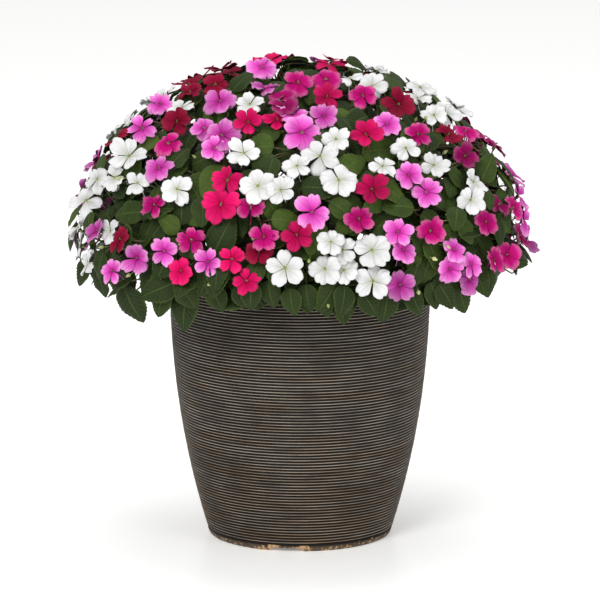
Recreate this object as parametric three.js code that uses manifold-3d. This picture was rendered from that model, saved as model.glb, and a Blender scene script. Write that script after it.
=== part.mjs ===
// Busy lizzie (Impatiens walleriana) in mixed colours, grown into a dome over its ribbed pot.
// Millimetres, +Z up. The origin is the centre of the pot's foot, on the surface it stands on,
// and the front of the plant looks along -Y.

import * as THREE from 'three';
import { mergeVertices } from 'three/addons/utils/BufferGeometryUtils.js';
import Module from 'manifold-3d';

const wasm = await Module();
wasm.setup();

// ---- driving dimensions ----

const GAP = 0.3; // clearance between pieces that touch

const POT = {
	height: 360,
	footRadius: 119,
	rimRadius: 171,
	belly: 2.2, // 1 is a straight cone, more swells out low down
	wall: 8,
	floor: 14,
	footRing: 15, // width of the ring that the pot stands on
	footRise: 5, // how far the floor is raised inside that ring
	lip: 9, // plain band above the foot
	ribs: 14, // fewer and larger than the moulded ones
	ribDepth: 1.8,
	rimBand: 5,
	sides: 22,
	drainRadius: 12,
	notches: 3, // drain cut-outs under the foot, one of them at the front
	notchWidth: 37,
	notchHeight: 4.5,
	notchAside: - 17, // the front one lies a little to the left
};

const SOIL = { top: 330, crown: 5, crownRadius: 80, holePlay: 0.8 };

const DOME = { acrossRadius: 296, upRadius: 233, middle: 393 };

const STEM = {
	collarDepth: 24, // how deep a plant stands in the soil
	footRadius: 6.5,
	crownRadius: 4.5,
	branchRadius: 3.4,
	tipRadius: 2.3,
	sides: 3,
};

// Where a plant's stem ends inside the dome: how far it leans outward and how high it reaches.
const OUTER_CROWN = { from: 100, lean: 22, height: 392 };
const INNER_CROWN = { lean: 12, height: 425 };

const HUB = { length: 9, radius: 3.2, depth: 62 };

// A bloom wider than `full` has notched petals, and the rest have one corner to a petal.
const BLOOM = { least: 36, most: 48, full: 37, dish: 1.4, tube: 4.6, neck: 15 };
const STALK = { radius: 1.15, rootRadius: 0.55 };

const LEAF = {
	arch: 0.13, // drop of the tip, as a share of the length
	crown: 2.3, // rise of the midrib's highest place
	keel: 1.9,
	broad: 0.7, // breadth as a share of the length
	longestStalk: 85,
	least: 38,
	most: 62,
	wanted: 108,
	tries: 2600,
};

// Room that is kept clear between the pieces, over the gap that touching ones keep.
const CLEAR = { blade: 0.6, stalk: 0.5, branch: 0.4, hub: 1 };

const PETAL_COLOURS = {
	white: '#f6f5f2',
	lilac: '#dc6fd0',
	magenta: '#c41c86',
	rose: '#e52473',
	crimson: '#b4103c',
};

// The plants: turn about the pot's axis from +X in degrees, distance from it, colour of the blooms.
const PLANTS = [
	{ turn: 205, out: 118, colour: 'white' },
	{ turn: 305, out: 118, colour: 'white' },
	{ turn: 70, out: 60, colour: 'white' },
	{ turn: 250, out: 118, colour: 'lilac' },
	{ turn: 348, out: 118, colour: 'lilac' },
	{ turn: 135, out: 60, colour: 'lilac' },
	{ turn: 20, out: 62, colour: 'magenta' },
	{ turn: 125, out: 118, colour: 'magenta' },
	{ turn: 190, out: 62, colour: 'rose' },
	{ turn: 75, out: 122, colour: 'rose' },
	{ turn: 285, out: 58, colour: 'crimson' },
];

// The front elevation is drawn on a square sheet, seen from an eye in front of the pot and a
// little above it. Sheet places count from the sheet's top left corner, in sheet units.
const SHEET = {
	middle: 300,
	unit: 1.31,
	eye: new THREE.Vector3( 0, - 8000, 1935 ),
	aim: new THREE.Vector3( 0, 0, 310 ),
};

// The blooms that the front elevation shows: across, down and breadth on the sheet.
const FRONT_BLOOMS = {
	white: [
		[ 182, 107, 18 ], [ 129, 156, 38 ], [ 114, 177, 26 ], [ 97, 179, 26 ], [ 137, 183, 22 ],
		[ 177, 189, 32 ], [ 86, 200, 34 ], [ 78, 228, 16 ], [ 80, 245, 20 ], [ 88, 262, 20 ],
		[ 110, 231, 10 ], [ 250, 104, 27 ], [ 244, 153, 33 ], [ 258, 186, 36 ], [ 281, 190, 26 ],
		[ 297, 166, 27 ], [ 320, 156, 37 ], [ 336, 139, 25 ], [ 339, 180, 35 ], [ 285, 268, 39 ],
		[ 350, 78, 14 ], [ 372, 86, 30 ], [ 406, 148, 27 ], [ 434, 165, 28 ], [ 383, 166, 24 ],
		[ 434, 115, 26 ], [ 446, 113, 30 ], [ 418, 98, 10 ], [ 474, 182, 22 ], [ 471, 200, 30 ],
		[ 331, 242, 24 ], [ 343, 250, 18 ], [ 325, 269, 30 ], [ 344, 270, 27 ], [ 372, 250, 35 ],
		[ 373, 281, 36 ],
	],
	lilac: [
		[ 160, 104, 26 ], [ 142, 128, 30 ], [ 159, 168, 30 ], [ 97, 231, 24 ], [ 112, 271, 25 ],
		[ 137, 258, 30 ], [ 164, 251, 29 ], [ 220, 101, 35 ], [ 262, 67, 31 ], [ 265, 88, 21 ],
		[ 294, 114, 20 ], [ 204, 128, 27 ], [ 222, 135, 38 ], [ 214, 148, 27 ], [ 302, 132, 37 ],
		[ 324, 116, 27 ], [ 312, 212, 35 ], [ 208, 262, 26 ], [ 387, 124, 25 ], [ 409, 175, 25 ],
		[ 427, 192, 30 ], [ 454, 250, 18 ], [ 450, 269, 27 ], [ 471, 264, 15 ], [ 470, 280, 10 ],
		[ 400, 285, 31 ], [ 398, 232, 30 ], [ 403, 250, 22 ],
	],
	magenta: [
		[ 168, 143, 28 ], [ 154, 205, 23 ], [ 283, 97, 19 ], [ 284, 107, 23 ], [ 298, 82, 30 ],
		[ 326, 79, 31 ], [ 251, 207, 14 ], [ 264, 237, 29 ], [ 363, 95, 26 ], [ 418, 134, 28 ],
		[ 466, 131, 8 ], [ 483, 141, 14 ], [ 495, 146, 13 ], [ 465, 156, 25 ], [ 497, 192, 13 ],
		[ 500, 204, 16 ], [ 513, 208, 16 ], [ 486, 222, 25 ], [ 520, 236, 8 ], [ 431, 231, 28 ],
		[ 507, 255, 30 ], [ 494, 260, 12 ], [ 359, 219, 29 ], [ 191, 240, 28 ],
	],
	rose: [
		[ 327, 96, 30 ], [ 248, 122, 27 ], [ 277, 119, 14 ], [ 227, 180, 30 ], [ 221, 204, 37 ],
		[ 243, 213, 33 ], [ 297, 235, 31 ], [ 366, 134, 31 ], [ 372, 189, 33 ], [ 232, 259, 28 ],
		[ 246, 281, 21 ], [ 181, 271, 24 ],
	],
	crimson: [
		[ 177, 121, 30 ], [ 117, 138, 24 ], [ 120, 239, 17 ], [ 215, 84, 28 ], [ 190, 92, 14 ],
		[ 229, 73, 8 ], [ 259, 252, 25 ], [ 399, 104, 35 ], [ 449, 134, 18 ],
	],
};
const FRONT_SPRAYS = 32;

// A bloom drawn broader than this turns toward the eye, and most of all on top of the dome.
const FACES_THE_FRONT = 24;
const TURN_AT_SIDE = 0.5;
const TURN_ON_TOP = 1.1;

// The rest of the dome is covered evenly, from a spiral of places that skips those taken in front.
const SPIRAL = { places: 156, lowest: - 0.1, apart: 44, breadth: 42, unevenness: 4, sprays: 15 };
const SPIRAL_COLOURS = [ 'lilac', 'rose', 'white', 'magenta', 'crimson', 'white', 'lilac', 'magenta' ];

// Leaves that hang as a fringe round the dome's lower edge.
const FRINGE = { leaves: 38, rise: 3, scale: 0.9, length: 47 };
const LOWEST_LEAF = 200; // no leaf hangs lower than this height

// Leaves that show whole in the front elevation: stalk end and tip on the sheet.
const FRONT_LEAVES = [
	[ 90, 258, 76, 285 ], [ 100, 270, 103, 297 ], [ 124, 286, 141, 325 ], [ 146, 282, 168, 303 ],
	[ 166, 290, 157, 315 ], [ 180, 284, 197, 311 ], [ 212, 286, 222, 311 ], [ 268, 282, 272, 309 ],
	[ 290, 288, 293, 312 ], [ 306, 284, 308, 300 ], [ 342, 288, 346, 308 ], [ 362, 292, 371, 306 ],
	[ 388, 292, 383, 324 ], [ 408, 290, 418, 308 ], [ 430, 282, 437, 305 ], [ 456, 280, 470, 313 ],
	[ 482, 268, 490, 298 ], [ 500, 257, 529, 263 ], [ 480, 182, 494, 153 ], [ 152, 238, 170, 214 ],
	[ 170, 168, 186, 149 ], [ 266, 200, 282, 222 ], [ 402, 254, 412, 280 ], [ 416, 262, 430, 287 ],
	[ 458, 220, 474, 242 ], [ 232, 92, 248, 75 ], [ 210, 110, 232, 126 ], [ 292, 96, 312, 110 ],
	[ 346, 98, 344, 120 ], [ 106, 166, 108, 152 ], [ 236, 288, 250, 306 ], [ 320, 290, 326, 312 ],
];

// ---- small helpers ----

const UP = new THREE.Vector3( 0, 0, 1 );

function seededDraw( seed ) {
	let state = seed;
	return () => {
		state = ( state + 0x6d2b79f5 ) | 0;
		let mixed = Math.imul( state ^ ( state >>> 15 ), 1 | state );
		mixed = ( mixed + Math.imul( mixed ^ ( mixed >>> 7 ), 61 | mixed ) ) ^ mixed;
		return ( ( mixed ^ ( mixed >>> 14 ) ) >>> 0 ) / 4294967296;
	};
}

const draw = seededDraw( 20 );
const spread = ( width ) => ( draw() - 0.5 ) * 2 * width;
const radians = THREE.MathUtils.degToRad;

function along( from, heading, distance ) {
	return from.clone().addScaledVector( heading, distance );
}

function headingOf( from, to ) {
	return to.clone().sub( from ).normalize();
}

// A frame at a place that faces a way: its x runs across, its y as near to a wish as it can.
function frameAt( place, facing, wish ) {
	const rise = wish.clone().addScaledVector( facing, - wish.dot( facing ) ).normalize();
	const across = rise.clone().cross( facing );
	return new THREE.Matrix4().makeBasis( across, rise, facing ).setPosition( place );
}

function domeNormal( point ) {
	return new THREE.Vector3(
		point.x / DOME.acrossRadius ** 2,
		point.y / DOME.acrossRadius ** 2,
		( point.z - DOME.middle ) / DOME.upRadius ** 2,
	).normalize();
}

function domePoint( turn, rise, scale = 1 ) {
	return new THREE.Vector3(
		DOME.acrossRadius * scale * Math.cos( turn ) * Math.cos( rise ),
		DOME.acrossRadius * scale * Math.sin( turn ) * Math.cos( rise ),
		DOME.middle + DOME.upRadius * scale * Math.sin( rise ),
	);
}

// ---- from the front elevation to the dome ----

const SIGHT_LENGTH = SHEET.eye.distanceTo( SHEET.aim );
const SIGHT_FORWARD = headingOf( SHEET.eye, SHEET.aim );
const SIGHT_RIGHT = SIGHT_FORWARD.clone().cross( UP ).normalize();
const SIGHT_UP = SIGHT_RIGHT.clone().cross( SIGHT_FORWARD );

function sightThrough( across, down ) {
	const aside = ( across - SHEET.middle ) * SHEET.unit / SIGHT_LENGTH;
	const above = ( SHEET.middle - down ) * SHEET.unit / SIGHT_LENGTH;
	const way = SIGHT_FORWARD.clone().addScaledVector( SIGHT_RIGHT, aside ).addScaledVector( SIGHT_UP, above );
	return way.normalize();
}

// Where a line of sight meets the dome, or passes nearest to it.
function domeInSight( across, down, scale = 1 ) {
	const toUnit = new THREE.Vector3( 1 / DOME.acrossRadius, 1 / DOME.acrossRadius, 1 / DOME.upRadius );
	toUnit.divideScalar( scale );
	const start = SHEET.eye.clone().sub( new THREE.Vector3( 0, 0, DOME.middle ) ).multiply( toUnit );
	const way = sightThrough( across, down );
	const unitWay = way.clone().multiply( toUnit );
	const speed = unitWay.length();
	unitWay.normalize();
	const nearest = - start.dot( unitWay );
	const miss = start.lengthSq() - nearest ** 2;
	const reach = nearest - Math.sqrt( Math.max( 0, 1 - miss ) );
	return along( SHEET.eye, way, reach / speed );
}

// ---- clearances: faces and strands that hold the room taken so far ----

const CELL = 45;
const FACE_HIT = new THREE.Vector3();
const PROBE = new THREE.Ray();

function face( a, b, c, owner ) {
	return {
		owner,
		radius: 0,
		corners: [ a, b, c ],
		edges: [ new THREE.Line3( a, b ), new THREE.Line3( b, c ), new THREE.Line3( c, a ) ],
		plate: new THREE.Triangle( a, b, c ),
		box: new THREE.Box3().setFromPoints( [ a, b, c ] ),
	};
}

function strand( a, b, radius, owner ) {
	const box = new THREE.Box3().setFromPoints( [ a, b ] ).expandByScalar( radius );
	return { owner, radius, corners: [ a, b ], edges: [ new THREE.Line3( a, b ) ], plate: null, box };
}

function strandsAlong( path, radius, owner ) {
	return path.slice( 1 ).map( ( point, i ) => strand( path[ i ], point, radius, owner ) );
}

function pierces( edges, plate ) {
	return edges.some( ( edge ) => {
		const length = edge.distance();
		if ( length < 1e-6 ) return false;
		PROBE.origin.copy( edge.start );
		PROBE.direction.copy( edge.end ).sub( edge.start ).divideScalar( length );
		const hit = PROBE.intersectTriangle( plate.a, plate.b, plate.c, false, FACE_HIT );
		return hit !== null && hit.distanceTo( edge.start ) <= length;
	} );
}

function isNear( one, other, gap ) {
	const least = gap + one.radius + other.radius;
	for ( const edge of one.edges ) {
		for ( const otherEdge of other.edges ) {
			if ( edge.distanceSqToLine3( otherEdge ) < least * least ) return true;
		}
	}
	for ( const [ plate, corners ] of [ [ one.plate, other.corners ], [ other.plate, one.corners ] ] ) {
		if ( ! plate ) continue;
		for ( const corner of corners ) {
			if ( plate.closestPointToPoint( corner, FACE_HIT ).distanceTo( corner ) < least ) return true;
		}
	}
	return ( other.plate !== null && pierces( one.edges, other.plate ) )
		|| ( one.plate !== null && pierces( other.edges, one.plate ) );
}

const cells = new Map();

function cellsOf( box ) {
	const names = [];
	for ( let i = Math.floor( box.min.x / CELL ); i <= Math.floor( box.max.x / CELL ); i ++ ) {
		for ( let j = Math.floor( box.min.y / CELL ); j <= Math.floor( box.max.y / CELL ); j ++ ) {
			for ( let k = Math.floor( box.min.z / CELL ); k <= Math.floor( box.max.z / CELL ); k ++ ) {
				names.push( `${ i } ${ j } ${ k }` );
			}
		}
	}
	return names;
}

function takeRoom( shapes ) {
	for ( const shape of shapes ) {
		for ( const name of cellsOf( shape.box ) ) {
			if ( ! cells.has( name ) ) cells.set( name, [] );
			cells.get( name ).push( shape );
		}
	}
}

function hasRoom( shapes, gap, isAllowed = () => false ) {
	return shapes.every( ( shape ) => {
		const reach = shape.box.clone().expandByScalar( gap + 0.01 );
		const met = new Set( cellsOf( reach ).flatMap( ( name ) => cells.get( name ) ?? [] ) );
		for ( const other of met ) {
			if ( other.box.intersectsBox( reach ) && ! isAllowed( other.owner ) && isNear( shape, other, gap ) ) {
				return false;
			}
		}
		return true;
	} );
}

// ---- closed bodies ----

// The body inside a closed skin of faces, which are turned outward as one where they face in.
function bodyOf( corners, faces ) {
	const spanned = ( [ a, b, c ] ) => corners[ a ].dot( corners[ b ].clone().cross( corners[ c ] ) );
	const volume = faces.reduce( ( sum, triple ) => sum + spanned( triple ), 0 );
	if ( volume < 0 ) faces.forEach( ( triple ) => triple.reverse() );
	const vertProperties = new Float32Array( corners.flatMap( ( corner ) => corner.toArray() ) );
	const triVerts = new Uint32Array( faces.flat() );
	return new wasm.Manifold( new wasm.Mesh( { numProp: 3, vertProperties, triVerts } ) );
}

function bodyOfGeometry( geometry ) {
	const plain = geometry.clone();
	plain.deleteAttribute( 'normal' );
	plain.deleteAttribute( 'uv' );
	const merged = mergeVertices( plain, 1e-4 );
	const places = merged.attributes.position;
	const corners = [];
	for ( let i = 0; i < places.count; i ++ ) {
		corners.push( new THREE.Vector3().fromBufferAttribute( places, i ) );
	}
	const order = Array.from( merged.index.array );
	const faces = [];
	for ( let i = 0; i < order.length; i += 3 ) {
		const triple = order.slice( i, i + 3 );
		if ( new Set( triple ).size === 3 ) faces.push( triple );
	}
	return bodyOf( corners, faces );
}

function geometryOf( body ) {
	const mesh = body.getMesh();
	const geometry = new THREE.BufferGeometry();
	geometry.setAttribute( 'position', new THREE.BufferAttribute( mesh.vertProperties.slice(), 3 ) );
	geometry.setIndex( new THREE.BufferAttribute( mesh.triVerts.slice(), 1 ) );
	geometry.computeVertexNormals();
	return geometry;
}

// Rings of corners along a path, turned with it so that they never twist.
function ringsAlong( path, radii, spokes, facing ) {
	const turned = spokes.map( ( spoke ) => spoke.clone() );
	const heading = facing.clone();
	return path.map( ( point, i ) => {
		const next = facing.clone();
		if ( i > 0 ) {
			next.copy( headingOf( path[ i - 1 ], point ) );
			if ( i < path.length - 1 ) next.add( headingOf( point, path[ i + 1 ] ) ).normalize();
		}
		const turn = new THREE.Quaternion().setFromUnitVectors( heading, next );
		turned.forEach( ( spoke ) => spoke.applyQuaternion( turn ) );
		heading.copy( next );
		return turned.map( ( spoke ) => along( point, spoke, radii[ i ] ) );
	} );
}

function ringWallFaces( first, sides, rings ) {
	const faces = [];
	for ( let i = 0; i < rings - 1; i ++ ) {
		for ( let k = 0; k < sides; k ++ ) {
			const a = first + i * sides + k;
			const b = first + i * sides + ( k + 1 ) % sides;
			faces.push( [ a, a + sides, b ], [ b, a + sides, b + sides ] );
		}
	}
	return faces;
}

// One radius all along a path, and another at its far end.
function radiiTo( path, radius, endRadius ) {
	return path.map( ( _, i ) => ( i === path.length - 1 ? endRadius : radius ) );
}

// A round bar along a path, with flat ends.
function barBody( path, radii, sides ) {
	const facing = headingOf( path[ 0 ], path[ 1 ] );
	const isSteep = Math.abs( facing.z ) >= 0.9;
	const aside = isSteep ? new THREE.Vector3( 1, 0, 0 ) : UP;
	const across = aside.clone().cross( facing ).normalize();
	const rise = across.clone().cross( facing ).normalize();
	const spokes = [];
	for ( let k = 0; k < sides; k ++ ) {
		const angle = 2 * Math.PI * k / sides;
		const spoke = across.clone().multiplyScalar( Math.cos( angle ) );
		spokes.push( spoke.addScaledVector( rise, - Math.sin( angle ) ) );
	}
	const rings = ringsAlong( path, radii, spokes.reverse(), facing );
	const faces = ringWallFaces( 0, sides, rings.length );
	const last = ( rings.length - 1 ) * sides;
	for ( let k = 1; k < sides - 1; k ++ ) {
		faces.push( [ 0, k, k + 1 ], [ last, last + k + 1, last + k ] );
	}
	return bodyOf( rings.flat(), faces );
}

// A blade on a three-sided stalk: a fan of faces on top, a skirt of faces from the rim to the
// stalk below, and the stalk along its path. The rim runs anticlockwise, seen from the top.
function bladeCorners( blade ) {
	const facing = new THREE.Vector3().setFromMatrixColumn( blade.frame, 2 );
	const place = ( local ) => local.clone().applyMatrix4( blade.frame );
	const turnOnly = new THREE.Matrix4().extractRotation( blade.frame );
	const spokes = blade.outline.spokes.map( ( spoke ) => spoke.clone().applyMatrix4( turnOnly ) );
	const radii = radiiTo( blade.path, STALK.radius, STALK.rootRadius );
	const rings = ringsAlong( blade.path, radii, spokes, facing.negate() );
	return [ place( blade.outline.crown ), ...blade.outline.rim.map( place ), ...rings.flat() ];
}

function bladeFaces( outline ) {
	const count = outline.rim.length;
	const first = 1 + count;
	const faces = [];
	for ( let j = 0; j < count; j ++ ) {
		const here = 1 + j;
		const next = 1 + ( j + 1 ) % count;
		const stalkHere = first + outline.sector[ j ];
		const stalkNext = first + outline.sector[ ( j + 1 ) % count ];
		faces.push( [ 0, here, next ], [ next, here, stalkHere ] );
		if ( stalkHere !== stalkNext ) faces.push( [ next, stalkHere, stalkNext ] );
	}
	return faces;
}

function bladeShapes( blade, owner ) {
	const corners = bladeCorners( blade );
	return bladeFaces( blade.outline ).map( ( triple ) => face( ...triple.map( ( i ) => corners[ i ] ), owner ) );
}

function bladeBody( blade ) {
	const corners = bladeCorners( blade );
	const faces = bladeFaces( blade.outline );
	const first = 1 + blade.outline.rim.length;
	faces.push( ...ringWallFaces( first, 3, blade.path.length ) );
	const last = corners.length - 3;
	faces.push( [ last, last + 2, last + 1 ] );
	return bodyOf( corners, faces );
}

function threeSpokes( firstTurn ) {
	return [ 0, 1, 2 ].map( ( k ) => {
		const angle = firstTurn + 2 * Math.PI * k / 3;
		return new THREE.Vector3( Math.cos( angle ), Math.sin( angle ), 0 );
	} );
}

// Five petals, the first one upright. A full bloom has a pair of corners on each petal's edge and a
// notch to the next petal; a small one has a single corner on each petal. The rows give the turn
// from the petal's middle in degrees, the share of the radius and the height in mm.
const PETAL_REACH = [ 0.9, 1, 1.03, 1.03, 1 ];
const FULL_PETAL = [ [ - 23, 1, 0 ], [ 23, 1, 0 ], [ 36, 0.6, - 0.5 ] ];
const SMALL_PETAL = [ [ 0, 1.05, 0 ], [ 36, 0.71, - 0.3 ] ];

function bloomOutline( radius, isFull ) {
	const rim = [];
	PETAL_REACH.forEach( ( reach, petal ) => {
		for ( const [ turn, share, lift ] of isFull ? FULL_PETAL : SMALL_PETAL ) {
			const angle = radians( 90 + 72 * petal + turn );
			rim.push( new THREE.Vector3( Math.cos( angle ), Math.sin( angle ), 0 )
				.multiplyScalar( radius * reach * share ).setZ( lift ) );
		}
	} );
	const middleOfThird = Math.PI / 3 - Math.PI / rim.length;
	return {
		crown: new THREE.Vector3( 0, 0, - BLOOM.dish ),
		rim,
		sector: rim.map( ( _, j ) => Math.floor( 3 * j / rim.length ) ),
		spokes: threeSpokes( Math.atan2( rim[ 0 ].y, rim[ 0 ].x ) + middleOfThird ),
		foot: new THREE.Vector3( 0, 0, - BLOOM.tube ),
	};
}

// An egg-shaped leaf that arches down to its tip; x runs along the midrib. The rows give places
// along one side: the share of the length and the share of the half breadth.
const LEAF_SIDE = [ [ 0.12, 0.68 ], [ 0.36, 1 ], [ 0.62, 0.84 ], [ 0.84, 0.44 ] ];
const LEAF_CROWN_AT = 0.46;
const LEAF_STALK_AT = 0.07;

function leafOutline( length, breadth ) {
	const heightAt = ( t ) => - LEAF.arch * length * t * t;
	const corner = ( t, y, lift = 0 ) => new THREE.Vector3( t * length, y, heightAt( t ) + lift );
	const right = LEAF_SIDE.map( ( [ t, share ] ) => corner( t, - share * breadth / 2 ) );
	const left = LEAF_SIDE.map( ( [ t, share ] ) => corner( t, share * breadth / 2 ) ).reverse();
	return {
		crown: corner( LEAF_CROWN_AT, 0, LEAF.crown ),
		rim: [ corner( 0, 0 ), ...right, corner( 1, 0 ), ...left ],
		sector: [ 0, 1, 1, 1, 1, 1, 2, 2, 2, 2 ],
		spokes: threeSpokes( Math.PI ),
		foot: new THREE.Vector3( LEAF_STALK_AT * length, 0, - LEAF.keel ),
	};
}

// ---- pot ----

function potRadius( height ) {
	const share = height / POT.height;
	return POT.footRadius + ( POT.rimRadius - POT.footRadius ) * ( 1 - ( 1 - share ) ** POT.belly );
}

function turnedBody( profile, sides ) {
	const points = profile.map( ( [ radius, height ] ) => new THREE.Vector2( radius, height ) );
	const geometry = new THREE.LatheGeometry( points, sides );
	return bodyOfGeometry( geometry.rotateX( Math.PI / 2 ) );
}

// The inside of the wall, from the soil's level down to the floor.
function innerWall( clearance ) {
	const STEPS = 4;
	const points = [];
	for ( let i = 0; i <= STEPS; i ++ ) {
		const height = THREE.MathUtils.lerp( SOIL.top, POT.floor, i / STEPS );
		points.push( [ potRadius( height ) - POT.wall - clearance, height + ( i === STEPS ? clearance : 0 ) ] );
	}
	return points;
}

function potBody() {
	const outer = [ [ POT.footRadius, 0 ], [ potRadius( POT.lip ), POT.lip ] ];
	const pitch = ( POT.height - POT.rimBand - POT.lip ) / POT.ribs;
	for ( let i = 0; i < POT.ribs; i ++ ) {
		const groove = POT.lip + ( i + 0.25 ) * pitch;
		const crest = POT.lip + ( i + 0.75 ) * pitch;
		outer.push( [ potRadius( groove ) - POT.ribDepth, groove ], [ potRadius( crest ), crest ] );
	}
	outer.push( [ POT.rimRadius, POT.height ] );
	const ringRadius = POT.footRadius - POT.footRing;
	const inner = [ [ POT.rimRadius - POT.wall, POT.height ], ...innerWall( 0 ) ];
	const under = [ [ ringRadius - 1, POT.footRise ], [ ringRadius, 0 ] ];
	const start = [ POT.drainRadius, POT.floor ];
	const profile = [ start, [ POT.drainRadius, POT.footRise ], ...under, ...outer, ...inner, start ];
	let body = turnedBody( profile, POT.sides );
	for ( let i = 0; i < POT.notches; i ++ ) {
		const notch = new THREE.BoxGeometry( POT.notchWidth, 3 * POT.footRing, 2 * POT.notchHeight );
		notch.translate( i === 0 ? POT.notchAside : 0, - POT.footRadius, 0 );
		notch.rotateZ( 2 * Math.PI * i / POT.notches );
		body = body.subtract( bodyOfGeometry( notch ) );
	}
	return body;
}

// ---- soil ----

function collarPlace( plant ) {
	const turn = radians( plant.turn );
	return new THREE.Vector3( plant.out * Math.cos( turn ), plant.out * Math.sin( turn ), SOIL.top );
}

function soilBody() {
	const wall = innerWall( GAP ).reverse();
	const crownTop = SOIL.top + SOIL.crown;
	const profile = [ [ 0, POT.floor + GAP ], ...wall, [ SOIL.crownRadius, crownTop ], [ 0, crownTop ] ];
	let body = turnedBody( profile, POT.sides );
	const holeRadius = STEM.footRadius + SOIL.holePlay;
	const holeLength = 3 * STEM.collarDepth;
	for ( const plant of PLANTS ) {
		const hole = new THREE.CylinderGeometry( holeRadius, holeRadius, holeLength, 6 );
		const middle = collarPlace( plant ).setZ( SOIL.top - STEM.collarDepth - GAP + holeLength / 2 );
		hole.rotateX( Math.PI / 2 ).translate( ...middle.toArray() );
		body = body.subtract( bodyOfGeometry( hole ) );
	}
	return body;
}

// ---- blooms ----

function bloomBlade( bloom ) {
	const outline = bloomOutline( bloom.radius, bloom.isFull );
	const frame = frameAt( bloom.centre, bloom.facing, bloom.wish );
	const foot = outline.foot.clone().applyMatrix4( frame );
	return { outline, frame, path: [ foot, along( foot, bloom.facing, - 6 ) ] };
}

// Tries a bloom nearer or farther along its line, then turned, then smaller, until it is clear.
function settleBloom( bloom, line ) {
	const DEPTHS = [ 0, 5, - 5, 10, 15, - 9, 20, 26 ];
	const TURNS = [ 0, 0.22, - 0.22 ];
	const SCALES = [ 1, 0.88, 0.76, 0.66 ];
	for ( const scale of SCALES ) {
		for ( const turn of TURNS ) {
			for ( const depth of DEPTHS ) {
				const facing = bloom.facing.clone().addScaledVector( bloom.aside, turn ).normalize();
				const centre = along( bloom.centre, line, depth );
				const tried = { ...bloom, facing, centre, radius: bloom.radius * scale };
				const shapes = bladeShapes( bloomBlade( tried ), 'bloom' );
				if ( hasRoom( shapes, CLEAR.blade ) ) {
					takeRoom( shapes );
					return tried;
				}
			}
		}
	}
	return null;
}

function bloomAt( centre, breadth, colour ) {
	const facing = domeNormal( centre ).multiplyScalar( 0.8 ).addScaledVector( UP, 0.22 );
	facing.add( new THREE.Vector3( spread( 0.16 ), spread( 0.16 ), spread( 0.16 ) ) ).normalize();
	const outward = new THREE.Vector3( centre.x, centre.y, 0 ).normalize();
	const wish = UP.clone().multiplyScalar( 0.8 ).addScaledVector( outward, - 0.5 );
	wish.add( new THREE.Vector3( spread( 0.35 ), spread( 0.35 ), 0 ) );
	const aside = UP.clone().cross( outward ).normalize();
	const radius = THREE.MathUtils.clamp( breadth, BLOOM.least, BLOOM.most ) / 2;
	return { colour, centre, facing, wish, aside, radius, isFull: false };
}

function frontBlooms() {
	const marks = Object.entries( FRONT_BLOOMS ).flatMap( ( [ colour, list ] ) =>
		list.map( ( [ across, down, breadth ] ) => ( { colour, across, down, breadth } ) ) );
	marks.sort( ( a, b ) => b.breadth - a.breadth );
	const blooms = marks.map( ( mark ) => {
		const line = sightThrough( mark.across, mark.down );
		const bloom = bloomAt( domeInSight( mark.across, mark.down ), mark.breadth * SHEET.unit, mark.colour );
		bloom.isFull = mark.breadth * SHEET.unit > BLOOM.full;
		const turn = THREE.MathUtils.lerp( TURN_AT_SIDE, TURN_ON_TOP, Math.max( 0, bloom.facing.z ) ** 2 );
		if ( mark.breadth > FACES_THE_FRONT ) bloom.facing.addScaledVector( SIGHT_FORWARD, - turn ).normalize();
		return settleBloom( bloom, line );
	} );
	return blooms.filter( ( bloom ) => bloom !== null );
}

// Places on a spiral over the dome, an even distance apart, where the front has left room.
function spiralBlooms( front ) {
	const GOLDEN_TURN = Math.PI * ( 3 - Math.sqrt( 5 ) );
	const blooms = [];
	for ( let i = 0; i < SPIRAL.places; i ++ ) {
		const rise = Math.asin( THREE.MathUtils.lerp( 0.995, SPIRAL.lowest, ( i + 0.5 ) / SPIRAL.places ) );
		const centre = domePoint( i * GOLDEN_TURN, rise );
		if ( front.some( ( other ) => other.centre.distanceTo( centre ) < SPIRAL.apart ) ) continue;
		const bloom = bloomAt( centre, SPIRAL.breadth + spread( SPIRAL.unevenness ), 'any' );
		blooms.push( settleBloom( bloom, domeNormal( centre ).negate() ) );
	}
	return blooms.filter( ( bloom ) => bloom !== null );
}

// Blooms of one colour are gathered, nearest first, until the wanted number of sprays is left.
function gatheredSprays( blooms, wanted ) {
	const sprays = blooms.map( ( bloom ) => [ bloom ] );
	const farthest = ( a, others ) => Math.max( ...others.map( ( b ) => a.centre.distanceTo( b.centre ) ) );
	const widest = ( one, other ) => Math.max( ...one.map( ( a ) => farthest( a, other ) ) );
	while ( sprays.length > wanted ) {
		let best = { distance: Infinity };
		sprays.forEach( ( one, i ) => sprays.forEach( ( other, j ) => {
			if ( j <= i || one[ 0 ].colour !== other[ 0 ].colour ) return;
			const distance = widest( one, other );
			if ( distance < best.distance ) best = { distance, i, j };
		} ) );
		sprays[ best.i ].push( ...sprays[ best.j ] );
		sprays.splice( best.j, 1 );
	}
	return sprays;
}

function colouredSprays( sprays ) {
	const turnOf = ( spray ) => Math.atan2( spray[ 0 ].centre.y, spray[ 0 ].centre.x );
	const inOrder = sprays.toSorted( ( a, b ) => turnOf( a ) - turnOf( b ) );
	return inOrder.map( ( spray, i ) => {
		const colour = SPIRAL_COLOURS[ i % SPIRAL_COLOURS.length ];
		return spray.map( ( bloom ) => ( { ...bloom, colour } ) );
	} );
}

// Whether a stalk is clear of all but its own node, from a little below its own blade.
function stalkHasRoom( path, owner ) {
	const START = 2.2;
	const start = along( path[ 0 ], headingOf( path[ 0 ], path[ 1 ] ), START );
	const strands = strandsAlong( [ start, ...path.slice( 1 ) ], STALK.radius, owner );
	return hasRoom( strands, CLEAR.stalk, ( other ) => other === owner );
}

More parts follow.
